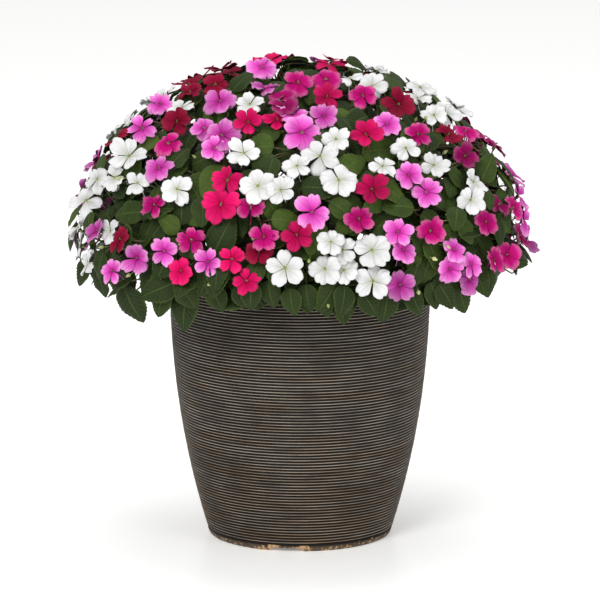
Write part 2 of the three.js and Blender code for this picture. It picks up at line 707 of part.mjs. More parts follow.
// A stalk runs straight from its bloom to the hub, or bends at a neck where something is in its way.
const NECK_REACHES = [ BLOOM.neck, 9, 22 ];
const NECK_LEANS = [
	[ 0, 0 ], [ 0.5, 0 ], [ - 0.5, 0 ], [ 0, 0.5 ], [ 0, - 0.5 ], [ 0.9, 0.9 ], [ - 0.9, - 0.9 ],
];

function stalkedBloom( bloom, hub, spray ) {
	const base = bloomBlade( bloom );
	const foot = base.path[ 0 ];
	const toBloom = bloom.centre.clone().sub( hub );
	toBloom.addScaledVector( bloom.facing, - toBloom.dot( bloom.facing ) ).normalize();
	const root = along( hub, toBloom, HUB.radius * 0.45 );
	const paths = [ [ foot, root ] ];
	for ( const reach of NECK_REACHES ) {
		for ( const [ aside, up ] of NECK_LEANS ) {
			const heading = bloom.facing.clone().negate();
			heading.addScaledVector( bloom.aside, aside ).addScaledVector( UP, up ).normalize();
			paths.push( [ foot, along( foot, heading, reach ), root ] );
		}
	}
	const path = paths.find( ( tried ) => stalkHasRoom( tried, spray ) );
	return path ? { ...base, path } : null;
}

// The room that a hub takes, whichever way it comes to lie.
function hubBall( hub, name ) {
	return strand( hub, hub.clone(), HUB.length / 2 + 1, `${ name } hub` );
}

// Places tried for a hub: how deep under the blooms, and how far aside in mm.
const HUB_DEPTHS = [ HUB.depth, 52, 72, 44, 82 ];
const HUB_SHIFTS = [ [ 0, 0 ], [ 12, 0 ], [ - 12, 0 ], [ 0, 12 ], [ 0, - 12 ], [ 18, 18 ], [ - 18, - 18 ] ];

function settleSpray( blooms, name ) {
	const middle = new THREE.Vector3();
	blooms.forEach( ( bloom ) => middle.add( bloom.centre ) );
	middle.divideScalar( blooms.length );
	const inward = domeNormal( middle ).negate();
	const frame = frameAt( middle, inward, UP );
	let best = { blades: [] };
	for ( const depth of HUB_DEPTHS ) {
		for ( const [ x, y ] of HUB_SHIFTS ) {
			const hub = new THREE.Vector3( x, y, depth ).applyMatrix4( frame );
			if ( ! hasRoom( [ hubBall( hub, name ) ], CLEAR.hub ) ) continue;
			const stalked = blooms.map( ( bloom ) => stalkedBloom( bloom, hub, name ) );
			const blades = stalked.filter( ( blade ) => blade !== null );
			if ( blades.length > best.blades.length ) best = { hub, blades };
			if ( blades.length === blooms.length ) break;
		}
		if ( best.blades.length === blooms.length ) break;
	}
	takeRoom( best.blades.flatMap( ( blade ) => strandsAlong( blade.path, STALK.radius, name ) ) );
	takeRoom( [ hubBall( best.hub, name ) ] );
	return { name, colour: blooms[ 0 ].colour, ...best };
}

// ---- plants ----

function crownPlace( plant ) {
	const collar = collarPlace( plant );
	const outward = new THREE.Vector3( collar.x, collar.y, 0 ).normalize();
	const crown = plant.out > OUTER_CROWN.from ? OUTER_CROWN : INNER_CROWN;
	return along( collar, outward, crown.lean ).setZ( crown.height );
}

function growPlant( plant, number ) {
	const name = `plant_${ String( number + 1 ).padStart( 2, '0' ) }_stems_and_leaves`;
	const collar = collarPlace( plant );
	const foot = collar.clone().setZ( SOIL.top - STEM.collarDepth );
	const crown = crownPlace( plant );
	const trunk = [ foot, collar.clone().setZ( SOIL.top + SOIL.crown + 8 ), crown ];
	takeRoom( strandsAlong( trunk, STEM.footRadius, name ) );
	return { ...plant, name, crown, trunk, branches: [], leaves: [] };
}

// Places tried for a branch's bend: the lean inward, how far back from the hub, and how far aside.
const BEND_LEANS = [ 0.35, 0.7, 0, 1.1 ];
const BEND_REACHES = [ 40, 26, 60 ];
const BEND_SHIFTS = [
	[ 0, 0 ], [ 14, 0 ], [ - 14, 0 ], [ 0, 14 ], [ 0, - 14 ], [ 26, 12 ], [ - 26, 12 ], [ 0, 32 ],
];

// A branch runs from a fork on the stem to the underside of a spray's hub, bent where it must be.
function branchTo( plant, spray ) {
	const FORKS = 4;
	const FORK_STEP = 9;
	const FIRST_FORK = 2;
	const NECK = 7;
	const [ , bottom, top ] = plant.trunk;
	const down = FIRST_FORK + FORK_STEP * ( plant.branches.length % FORKS );
	const fork = along( top, headingOf( top, bottom ), down );
	const straight = headingOf( fork, spray.hub );
	const inward = domeNormal( spray.hub ).negate();
	const aside = straight.clone().cross( UP ).normalize();
	const rise = aside.clone().cross( straight );
	const bends = [ null ];
	for ( const lean of BEND_LEANS ) {
		const back = straight.clone().negate().addScaledVector( inward, lean ).normalize();
		for ( const reach of BEND_REACHES ) {
			for ( const [ x, y ] of BEND_SHIFTS ) {
				bends.push( along( spray.hub, back, reach ).addScaledVector( aside, x ).addScaledVector( rise, y ) );
			}
		}
	}
	const isOwn = ( owner ) => owner === plant.name || owner === `${ spray.name } hub`;
	for ( const bend of bends ) {
		const heading = headingOf( bend ?? fork, spray.hub );
		const foot = along( spray.hub, heading, - HUB.length / 2 );
		const end = along( foot, heading, - GAP );
		const neck = along( end, heading, - NECK );
		const path = bend ? [ fork, bend, end ] : [ fork, end ];
		const strands = strandsAlong( [ ...path.slice( 0, - 1 ), neck ], STEM.branchRadius, plant.name );
		strands.push( strand( neck, end, STEM.tipRadius, plant.name ) );
		if ( hasRoom( strands, CLEAR.branch, isOwn ) ) return { path, heading, foot };
	}
	return null;
}

// Each spray goes to the nearest plant of its colour that has a clear way to it, the nearest first.
function growBranches( plants, sprays ) {
	const byNeed = sprays.map( ( spray ) => {
		const distanceTo = ( plant ) => plant.crown.distanceTo( spray.hub );
		const own = plants.filter( ( plant ) => plant.colour === spray.colour );
		own.sort( ( a, b ) => distanceTo( a ) - distanceTo( b ) );
		return { spray, own, distance: distanceTo( own[ 0 ] ) };
	} );
	byNeed.sort( ( a, b ) => a.distance - b.distance );
	for ( const { spray, own } of byNeed ) {
		const others = plants.filter( ( plant ) => ! own.includes( plant ) );
		for ( const plant of [ ...own, ...others ] ) {
			const branch = branchTo( plant, spray );
			if ( ! branch ) continue;
			plant.branches.push( branch.path );
			spray.foot = branch.foot;
			spray.heading = branch.heading;
			takeRoom( strandsAlong( branch.path, STEM.branchRadius, plant.name ) );
			break;
		}
	}
}

// ---- leaves ----

// The nearest places on the branches that a leaf stalk can grow from.
function nearestOnBranches( plants, point ) {
	const CHOICES = 4;
	const found = [];
	for ( const plant of plants ) {
		for ( const path of plant.branches ) {
			for ( let i = 1; i < path.length; i ++ ) {
				const line = new THREE.Line3( path[ i - 1 ], path[ i ] );
				const share = THREE.MathUtils.clamp( line.closestPointToPointParameter( point, true ), 0.04, 0.93 );
				const root = line.at( share, new THREE.Vector3() );
				found.push( { plant, root, distance: root.distanceTo( point ) } );
			}
		}
	}
	return found.sort( ( a, b ) => a.distance - b.distance ).slice( 0, CHOICES );
}

// Tries a leaf deeper and tilted until its blade is clear and a stalk can reach it.
const LEAF_DEPTHS = [ 0, 5, 10, 16, - 4 ];
const LEAF_TILTS = [ [ 0, 0 ], [ 0.3, 0 ], [ - 0.3, 0 ], [ 0, 0.25 ], [ 0, - 0.3 ] ];
const LEAF_NECK = new THREE.Vector3( - 5, 0, - 8 );

function settleLeaf( plants, base, heading, length, facing, longestStalk ) {
	const outline = leafOutline( length, length * LEAF.broad );
	const across = heading.clone().cross( facing ).normalize();
	const normal = across.clone().cross( heading ).normalize();
	for ( const depth of LEAF_DEPTHS ) {
		for ( const [ roll, pitch ] of LEAF_TILTS ) {
			const turned = heading.clone().addScaledVector( normal, pitch ).normalize();
			const rolled = normal.clone().addScaledVector( across, roll ).normalize();
			const place = along( base, normal, - depth );
			const side = rolled.clone().cross( turned ).normalize();
			const top = turned.clone().cross( side ).normalize();
			const frame = new THREE.Matrix4().makeBasis( turned, side, top ).setPosition( place );
			const foot = outline.foot.clone().applyMatrix4( frame );
			const neck = LEAF_NECK.clone().applyMatrix4( frame );
			const blade = { outline, frame, path: [ foot, neck ] };
			const under = new THREE.Vector3().setFromMatrixColumn( frame, 2 ).negate();
			const skin = bladeShapes( blade, 'leaf' );
			if ( ! hasRoom( skin, CLEAR.blade ) ) continue;
			for ( const { plant, root, distance } of nearestOnBranches( plants, neck ) ) {
				if ( distance > longestStalk ) break;
				const isSteep = headingOf( foot, root ).dot( under ) > 0.4;
				const paths = isSteep ? [ [ foot, root ], [ foot, neck, root ] ] : [ [ foot, neck, root ] ];
				const path = paths.find( ( tried ) => stalkHasRoom( tried, plant.name ) );
				if ( path ) {
					takeRoom( skin );
					takeRoom( strandsAlong( path, STALK.radius, plant.name ) );
					plant.leaves.push( { ...blade, path } );
					return true;
				}
			}
		}
	}
	return false;
}

function growFrontLeaves( plants ) {
	for ( const [ baseAcross, baseDown, tipAcross, tipDown ] of FRONT_LEAVES ) {
		const base = domeInSight( baseAcross, baseDown, 0.96 );
		const size = Math.hypot( tipAcross - baseAcross, tipDown - baseDown ) * SHEET.unit;
		const sight = sightThrough( tipAcross, tipDown );
		const nearest = base.clone().sub( SHEET.eye ).dot( sight );
		const tip = along( SHEET.eye, sight, nearest + 0.25 * size );
		const facing = domeNormal( base ).addScaledVector( UP, 0.4 ).addScaledVector( SIGHT_FORWARD, - 0.4 );
		const length = THREE.MathUtils.clamp( base.distanceTo( tip ), LEAF.least, LEAF.most );
		settleLeaf( plants, base, headingOf( base, tip ), length, facing.normalize(), LEAF.longestStalk );
	}
}

function growFringe( plants ) {
	for ( let i = 0; i < FRINGE.leaves; i ++ ) {
		const turn = 2 * Math.PI * ( i + spread( 0.3 ) ) / FRINGE.leaves;
		const base = domePoint( turn, radians( FRINGE.rise + spread( 5 ) ), FRINGE.scale + spread( 0.035 ) );
		const outward = new THREE.Vector3( Math.cos( turn ), Math.sin( turn ), 0 );
		const heading = outward.clone().multiplyScalar( 0.6 ).addScaledVector( UP, - 0.75 + spread( 0.3 ) );
		heading.normalize();
		const facing = outward.clone().addScaledVector( UP, 0.9 ).normalize();
		settleLeaf( plants, base, heading, FRINGE.length + spread( 7 ), facing, LEAF.longestStalk );
	}
}

// Leaves that fill what room is left between the blooms, until there are enough on the plants.
function growFilling( plants ) {
	const total = () => plants.reduce( ( sum, plant ) => sum + plant.leaves.length, 0 );
	for ( let i = 0; i < LEAF.tries && total() < LEAF.wanted; i ++ ) {
		const rise = Math.asin( THREE.MathUtils.lerp( - 0.12, 0.995, draw() ) );
		const base = domePoint( 2 * Math.PI * draw(), rise, 0.955 - 0.05 * draw() );
		const facing = domeNormal( base ).addScaledVector( UP, 0.15 );
		facing.add( new THREE.Vector3( spread( 0.25 ), spread( 0.25 ), spread( 0.2 ) ) ).normalize();
		const aside = facing.clone().cross( UP ).normalize();
		const down = aside.clone().cross( facing ).normalize();
		const turn = 2 * Math.PI * draw();
		const heading = aside.multiplyScalar( Math.cos( turn ) ).addScaledVector( down, Math.sin( turn ) );
		settleLeaf( plants, base, heading, 55 + spread( 8 ), facing, LEAF.longestStalk - 15 );
	}
}

// ---- bodies of plants and sprays ----

function plantBody( plant ) {
	let body = barBody( plant.trunk, [ STEM.footRadius, STEM.footRadius, STEM.crownRadius ], 6 );
	for ( const path of plant.branches ) {
		body = body.add( barBody( path, radiiTo( path, STEM.branchRadius, STEM.tipRadius ), STEM.sides ) );
	}
	for ( const leaf of plant.leaves ) body = body.add( bladeBody( leaf ) );
	return body;
}

function sprayBody( spray ) {
	const top = along( spray.foot, spray.heading, HUB.length );
	let body = barBody( [ spray.foot, top ], [ HUB.radius, HUB.radius ], STEM.sides + 1 );
	for ( const blade of spray.blades ) body = body.add( bladeBody( blade ) );
	return body;
}

// ---- the whole ----

const group = new THREE.Group();

function addPiece( name, body, look ) {
	const mesh = new THREE.Mesh( geometryOf( body ), new THREE.MeshStandardMaterial( look ) );
	mesh.name = name;
	group.add( mesh );
}

function takeRoomOfBody( body, owner, lowest ) {
	const mesh = body.getMesh();
	const corner = ( i ) => new THREE.Vector3().fromArray( mesh.vertProperties, 3 * i );
	for ( let i = 0; i < mesh.triVerts.length; i += 3 ) {
		const [ a, b, c ] = [ 0, 1, 2 ].map( ( k ) => corner( mesh.triVerts[ i + k ] ) );
		if ( Math.max( a.z, b.z, c.z ) > lowest ) takeRoom( [ face( a, b, c, owner ) ] );
	}
}

const pot = potBody();
const soil = soilBody();
takeRoomOfBody( pot, 'pot', LOWEST_LEAF );

const front = frontBlooms();
const plants = PLANTS.map( growPlant );
const rest = gatheredSprays( spiralBlooms( front ), SPIRAL.sprays );
const gathered = [ ...gatheredSprays( front, FRONT_SPRAYS ), ...colouredSprays( rest ) ];
const sprays = gathered.map( ( blooms, i ) => {
	const number = String( i + 1 ).padStart( 2, '0' );
	return settleSpray( blooms, `spray_${ number }_${ blooms[ 0 ].colour }` );
} );
growBranches( plants, sprays );
const carried = sprays.filter( ( spray ) => spray.foot );
growFrontLeaves( plants );
growFringe( plants );
growFilling( plants );

addPiece( 'pot', pot, { color: '#3b332c', roughness: 0.75, metalness: 0 } );
addPiece( 'soil', soil, { color: '#2c2018', roughness: 1, metalness: 0 } );
for ( const plant of plants ) {
	addPiece( plant.name, plantBody( plant ), { color: '#3f6a24', roughness: 0.5, metalness: 0 } );
}
for ( const spray of carried ) {
	const color = PETAL_COLOURS[ spray.colour ];
	addPiece( spray.name, sprayBody( spray ), { color, roughness: 0.6, metalness: 0 } );
}

export default group;
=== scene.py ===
"""Busy lizzie (Impatiens walleriana) in mixed colours, with its ribbed pot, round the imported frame."""

from functools import lru_cache, partial
from itertools import chain
from math import cos, hypot, pi, radians, sin, sqrt

import bmesh
import bpy
import numpy as np
from bpy.props import FloatProperty, FloatVectorProperty, IntProperty, PointerProperty
from mathutils import Matrix, Vector
from numpy.linalg import norm


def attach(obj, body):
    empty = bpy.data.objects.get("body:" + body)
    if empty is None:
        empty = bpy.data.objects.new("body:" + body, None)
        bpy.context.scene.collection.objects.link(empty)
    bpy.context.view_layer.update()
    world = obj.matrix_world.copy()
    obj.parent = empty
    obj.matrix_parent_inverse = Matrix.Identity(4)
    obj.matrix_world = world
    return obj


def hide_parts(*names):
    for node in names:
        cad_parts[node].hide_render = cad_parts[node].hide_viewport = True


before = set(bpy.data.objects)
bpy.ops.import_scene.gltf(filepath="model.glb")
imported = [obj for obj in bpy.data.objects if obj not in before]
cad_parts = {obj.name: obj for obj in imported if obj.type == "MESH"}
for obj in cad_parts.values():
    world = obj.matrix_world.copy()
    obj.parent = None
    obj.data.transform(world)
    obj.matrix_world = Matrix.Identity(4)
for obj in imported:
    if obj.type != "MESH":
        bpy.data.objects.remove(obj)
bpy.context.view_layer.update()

bl_info = {
    "name": "Busy lizzie in a ribbed pot",
    "version": (1, 0, 0),
    "blender": (4, 5, 0),
    "location": "3D View > Sidebar > Busy lizzie",
    "description": "Petals, leaves, ribs and a studio stage for a packed busy lizzie",
    "category": "Object",
}

MM = 0.001
UP = np.array([0.0, 0.0, 1.0])

# ---- sizes shared with the frame, in mm ----

POT_HEIGHT = 360
POT_BELLY = 2.2  # 1 is a straight cone, more swells out low down
POT_WALL = 8
POT_FLOOR = 14
FOOT_RING = 15
FOOT_RISE = 5
DRAIN_RADIUS = 12
NOTCHES = 3
NOTCH_WIDTH = 37
NOTCH_HEIGHT = 4.5
NOTCH_ASIDE = -17  # the front one lies a little to the left

SOIL_TOP = 330
SOIL_CROWN = 5
SOIL_GAP = 0.3

DOME = np.array([296, 296, 233])  # half of its breadth and depth, and its height
DOME_MIDDLE = np.array([0, 0, 393])

# The front elevation: a square sheet seen by an eye in front of the pot and a little above it.
SHEET_MIDDLE = 300
SHEET_UNIT = 1.31
EYE = np.array([0.0, -8000.0, 1935.0])
AIM = np.array([0.0, 0.0, 310.0])
FIELD_OF_VIEW = 5.51  # degrees across the sheet

# ---- blades of the frame: what a bloom's and a leaf's solid look like ----

SAME_CORNER = 20  # corners that fall in the same twentieth of a mm are one
FULL_RING = 15
SMALL_RING = 10
LONG_EDGE = 6  # mm: every spoke of a blade's fan is longer than this
PETALS = 5
PETAL_REACH = np.array([0.9, 1.0, 1.03, 1.03, 1.0])
SMALL_TIP = 1.05
BLOOM_DISH = 1.4
LEAF_ARCH = 0.13
LEAF_BROAD = 0.7
LEAF_BROAD_SLACK = 0.03


# ---- small helpers ----


def linear(code):
    """An sRGB hex colour as the linear colour that Blender's sockets take."""
    parts = [int(code[i : i + 2], 16) / 255 for i in (1, 3, 5)]
    return tuple(p / 12.92 if p <= 0.04045 else ((p + 0.055) / 1.055) ** 2.4 for p in parts) + (1.0,)


def unit(vector):
    return vector / norm(vector)


def axes_of(facing, wish):
    """Rows across, rise and facing: the rise is as near to a wish as it can be."""
    rise = unit(wish - facing * np.dot(wish, facing))
    return np.array([np.cross(rise, facing), rise, facing])


def placed(points, origin, axes):
    return points @ axes + origin


def turned(points, angle):
    """Points turned about the local upright axis."""
    return points @ np.array(Matrix.Rotation(angle, 3, "Z").transposed())


def bent_path(start, bend, end, count):
    """Points along a curve that leaves its start and meets its end in line with the bend."""
    steps = np.linspace(0, 1, count)[:, None]
    return (1 - steps) ** 2 * start + 2 * steps * (1 - steps) * bend + steps**2 * end


@lru_cache(maxsize=None)
def circle(sides):
    """Corners round a unit circle."""
    angles = 2 * pi * np.arange(sides) / sides
    return np.column_stack([np.cos(angles), np.sin(angles)])


def level_ring(sides, radius, height):
    """Corners round a level circle about the upright axis."""
    return np.column_stack([radius * circle(sides), np.full(sides, height)])


def dome_scale(points):
    """How far out a point lies, where 1 is on the dome."""
    return norm((points - DOME_MIDDLE) / DOME, axis=-1)


def dome_normal(point):
    return unit((point - DOME_MIDDLE) / DOME**2)


def sight_through(across, down):
    """The line of sight from the eye through a place on the sheet."""
    forward = unit(AIM - EYE)
    right = unit(np.cross(forward, UP))
    above = np.cross(right, forward)
    reach = norm(AIM - EYE)
    aside = (across - SHEET_MIDDLE) * SHEET_UNIT / reach
    lift = (SHEET_MIDDLE - down) * SHEET_UNIT / reach
    return unit(forward + right * aside + above * lift)


def dome_in_sight(across, down, scale):
    """Where a line of sight meets the dome at a scale, or passes nearest to it."""
    shrink = 1 / (DOME * scale)
    start = (EYE - DOME_MIDDLE) * shrink
    way = sight_through(across, down)
    speed = norm(way * shrink)
    nearest = -np.dot(start, way * shrink / speed)
    miss = np.dot(start, start) - nearest**2
    return EYE + way * (nearest - sqrt(max(0, 1 - miss))) / speed


# ---- meshes ----


def new_object(name, data):
    thing = bpy.data.objects.new(name, data)
    bpy.context.scene.collection.objects.link(thing)
    return thing


class Growth:
    """Gathers the skins of one piece. Each corner keeps its place on its own blade, petal or stem,
    as the share along, the share across and a number of its own, for the finishes to read."""

    def __init__(self):
        self.skins = []
        self.count = 0

    def add(self, points, faces, finish, places, smooth=True):
        """Takes one skin. The finish and smooth are one value, or one for each face."""
        faces = [(np.asarray(face) + self.count).tolist() for face in faces]
        looks = [np.broadcast_to(look, len(faces)) for look in (finish, smooth)]
        self.skins.append((points, faces, *looks, np.broadcast_to(places, points.shape)))
        self.count += len(points)

    def add_rings(self, rings, finish, number):
        """Takes a round skin as a row of rings of corners, and closes its two ends."""
        rows, sides = len(rings), len(rings[0])
        here = np.arange(rows * sides).reshape(rows, sides)
        there = np.roll(here, -1, axis=1)
        walls = np.stack([here[:-1], there[:-1], there[1:], here[1:]], axis=-1).reshape(-1, 4).tolist()
        walls += [here[0][::-1].tolist(), here[-1].tolist()]
        along = np.repeat(np.linspace(0, 1, rows), sides)
        places = np.column_stack([along, 0 * along, np.full_like(along, number)])
        self.add(np.concatenate(rings), walls, finish, places)

    def finish(self, name, materials, slot, *nodes):
        """Makes the piece, in metres, and sets it on the frame in the place of its nodes."""
        points, faces, finishes, smooth, places = zip(*self.skins)
        mesh = bpy.data.meshes.new(name)
        mesh.from_pydata(np.concatenate(points) * MM, [], list(chain.from_iterable(faces)))
        for material in materials:
            mesh.materials.append(material)
        mesh.polygons.foreach_set("material_index", np.concatenate(finishes).astype(np.int32))
        mesh.polygons.foreach_set("use_smooth", np.concatenate(smooth))
        place = mesh.attributes.new("place", "FLOAT_VECTOR", "POINT")
        place.data.foreach_set("vector", np.concatenate(places).astype(np.float32).ravel())
        mesh.validate()
        piece = new_object(name, mesh)
        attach(piece, "root")
        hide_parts(*nodes)


@lru_cache(maxsize=None)
def sheet_faces(rows, columns):
    """Faces of a thin closed sheet: its top, its underside and its rim."""
    top = np.arange(rows * columns).reshape(rows, columns)
    upper = np.stack([top[:-1, :-1], top[:-1, 1:], top[1:, 1:], top[1:, :-1]], axis=-1).reshape(-1, 4)
    lower = (upper + top.size)[:, ::-1]
    edge = np.concatenate([top[0, :], top[1:, -1], top[-1, -2::-1], top[-2:0:-1, 0]])
    after = np.roll(edge, -1)
    rim = np.stack([after, edge, edge + top.size, after + top.size], axis=-1)
    return upper, lower, rim


def blade_grid(rows, columns, start, crowding):
    """Shares along and across a blade. Its columns crowd toward its edges."""
    bend = pi / 2 * crowding
    across = np.sin(np.linspace(-1, 1, columns) * bend) / sin(bend)
    return np.meshgrid(np.linspace(start, 1, rows), across, indexing="ij")


def add_sheet(growth, top, thickness, finishes, along, across, number, origin, axes):
    """Adds a thin sheet from a grid of points, whose rows run along it."""
    rows, columns = top.shape[:2]
    normal = np.cross(np.gradient(top, axis=1), np.gradient(top, axis=0))
    normal /= norm(normal, axis=2, keepdims=True) + 1e-12
    points = np.concatenate([top.reshape(-1, 3), (top - thickness * normal).reshape(-1, 3)])
    sides = sheet_faces(rows, columns)
    counts = [len(side) for side in sides]
    kinds = np.repeat([finishes[0], finishes[1], finishes[0]], counts)
    smooth = np.repeat([True, True, False], counts)
    places = np.stack([along, across, np.full_like(along, number)], axis=-1).reshape(-1, 3)
    growth.add(placed(points, origin, axes), np.concatenate(sides), kinds, np.tile(places, (2, 1)), smooth)


BAR_SIDES = 5
TURNED_SIDES = 8


def add_bar(growth, path, radii, finish, number):
    """A round bar along a path of points, closed at both ends."""
    ways = np.gradient(path, axis=0)
    ways /= norm(ways, axis=1, keepdims=True)
    aside = np.array([1.0, 0, 0]) if abs(ways[0][2]) > 0.9 else UP
    spoke = unit(np.cross(aside, ways[0]))
    rings = []
    for point, way, radius in zip(path, ways, np.broadcast_to(radii, len(path))):
        spoke = unit(spoke - way * np.dot(spoke, way))
        rings.append(point + radius * circle(BAR_SIDES) @ np.array([spoke, np.cross(way, spoke)]))
    growth.add_rings(rings, finish, number)


def add_turned(growth, profile, finish, number, origin, axes):
    """A body turned about the local facing axis, from a profile of radius and height."""
    rings = [placed(level_ring(TURNED_SIDES, radius, height), origin, axes) for radius, height in profile]
    growth.add_rings(rings, finish, number)


# ---- reading the frame ----


def welded(node):
    """The corners of a CAD node in mm, each once, and its triangles."""
    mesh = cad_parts[node].data
    corners = np.array([vertex.co for vertex in mesh.vertices]) / MM
    steps = np.round(corners * SAME_CORNER)
    _, first, index = np.unique(steps, axis=0, return_index=True, return_inverse=True)
    mesh.calc_loop_triangles()
    triangles = index.reshape(-1)[np.array([triangle.vertices for triangle in mesh.loop_triangles])]
    a, b, c = triangles.T
    return corners[first], triangles[(a != b) & (b != c) & (c != a)]


def rings_of(points, triangles):
    """The tops of the blades: corners amid a closed fan of long faces, with their rings."""
    following = {}
    for a, b, c in triangles.tolist():
        for middle, here, there in ((a, b, c), (b, c, a), (c, a, b)):
            following.setdefault(middle, {})[here] = there
    found = []
    for middle, steps in following.items():
        if len(steps) not in (SMALL_RING, FULL_RING):
            continue
        ring = [next(iter(steps))]
        while len(ring) < len(steps) and ring[-1] in steps:
            ring.append(steps[ring[-1]])
        spokes = norm(points[ring] - points[middle], axis=1)
        if len(set(ring)) == len(steps) and spokes.min() > LONG_EDGE:
            found.append((middle, ring))
    return found


def bloom_from(crown, ring):
    """A bloom's centre, radius and axes, from its solid's fan. The first petal is the shortest."""
    spread = ring - ring.mean(axis=0)
    facing = unit(np.cross(spread, np.roll(spread, -1, axis=0)).sum(axis=0))
    spokes = ring - crown
    spokes -= np.outer(spokes @ facing, facing)
    reach = norm(spokes, axis=1)
    step = len(ring) // PETALS
    notch = min(range(step), key=lambda k: reach[k::step].mean())
    spokes, reach = np.roll(spokes, -notch - 1, axis=0), np.roll(reach, -notch - 1)
    petals = [slice(step * k, step * k + step - 1) for k in range(PETALS)]
    reaches = np.array([reach[petal].mean() for petal in petals])
    first = spokes[petals[np.argmin(reaches)]].mean(axis=0)
    radius = reaches.mean() / PETAL_REACH.mean() / (1 if len(ring) == FULL_RING else SMALL_TIP)
    return {"centre": crown + BLOOM_DISH * facing, "axes": axes_of(facing, first), "radius": radius}


def leaf_from(crown, ring):
    """A leaf's base, length and axes, from its solid's fan, or None where the fan is no leaf."""
    tip = int(np.argmax(norm(ring - crown, axis=1)))
    ring = np.roll(ring, -tip, axis=0)
    chord = ring[0] - ring[5]
    side = unit(ring[2] - ring[8])
    length = norm(chord) / hypot(1, LEAF_ARCH)
    breadth = norm(ring[3] - ring[7])
    if abs(breadth / length - LEAF_BROAD) > LEAF_BROAD_SLACK:
        return None
    normal = unit(np.cross(chord, side))
    heading = unit(chord + LEAF_ARCH * length * normal)
    return {"base": ring[5], "length": length, "axes": np.array([heading, side, np.cross(heading, side)])}


def read_node(node):
    """The blades of a plant's or a spray's node, and the stems that are left without them."""
    points, triangles = welded(node)
    make = bloom_from if node.startswith("spray") else leaf_from
    blades, gone = [], set()
    for middle, ring in rings_of(points, triangles):
        blade = make(points[middle], points[ring])
        if blade:
            blades.append(blade)
            gone |= {middle, *ring}
    keep = [face for face in triangles.tolist() if not gone & set(face)]
    return blades, points, keep


def add_stems(growth, points, faces, finish, number):
    """The stems of a node with their open ends closed and their sides rounded. Gives their corners."""
    mesh = bpy.data.meshes.new("stems")
    mesh.from_pydata(points, [], faces)
    mesh.validate()
    work = bmesh.new()
    work.from_mesh(mesh)
    bmesh.ops.delete(work, geom=[v for v in work.verts if not v.link_faces], context="VERTS")
    bmesh.ops.holes_fill(work, edges=work.edges, sides=0)
    work.to_mesh(mesh)
    work.free()
    rough = new_object("stems", mesh)
    rough.modifiers.new("round", "SUBSURF").levels = 1
    smooth = rough.evaluated_get(bpy.context.evaluated_depsgraph_get()).data
    corners = np.array([vertex.co for vertex in smooth.vertices])
    growth.add(corners, [list(polygon.vertices) for polygon in smooth.polygons], finish, (0.5, 0, number))
    bpy.data.objects.remove(rough)
    bpy.data.meshes.remove(mesh)
    return corners


PLANTS, SPRAYS = (sorted(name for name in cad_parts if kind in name) for kind in ("plant", "spray"))
READ = {name: read_node(name) for name in PLANTS + SPRAYS}
BLOOMS = [blade for name in SPRAYS for blade in READ[name][0]]
CENTRES, RADII, AXES = (np.array([bloom[key] for bloom in BLOOMS]) for key in ("centre", "radius", "axes"))


# ---- finishes ----

SIDE_VEINS = 8
SIDE_VEIN_SWEEP = 0.24

# How far the streaks dim and brighten a petal, and how far its own number does.
TONES = (0.74, 1.16), (0.56, 1.28)
WHITE_TONES = (0.88, 1.1), (0.9, 1.06)


def add_node(tree, kind, *inputs, **settings):
    """Adds a shader node, or takes one that is there, with its settings and inputs. The inputs come in
    the node's own order, or by name with a capital, as plain values or as nodes or sockets to link."""
    node = tree.nodes.new("ShaderNode" + kind) if isinstance(kind, str) else kind
    for name in filter(str.islower, list(settings)):
        setattr(node, name, settings.pop(name))
    plugs = list(zip([plug for plug in node.inputs if plug.enabled], inputs))
    plugs += [(node.inputs[name.replace("_", " ")], value) for name, value in settings.items()]
    for plug, value in plugs:
        if isinstance(value, bpy.types.Node):
            value = next(socket for socket in value.outputs if socket.enabled)
        if isinstance(value, bpy.types.NodeSocket):
            tree.links.new(value, plug)
        else:
            plug.default_value = value
    return node


def new_finish(name):
    """A material, its shader, and the way to add a node to it."""
    material = bpy.data.materials.new(name)
    material.use_nodes = True
    tree = material.node_tree
    return material, tree.nodes["Principled BSDF"], partial(add_node, tree)


def per_metre(size):
    """The scale of a texture whose features are this many mm."""
    return 1 / (size * MM)


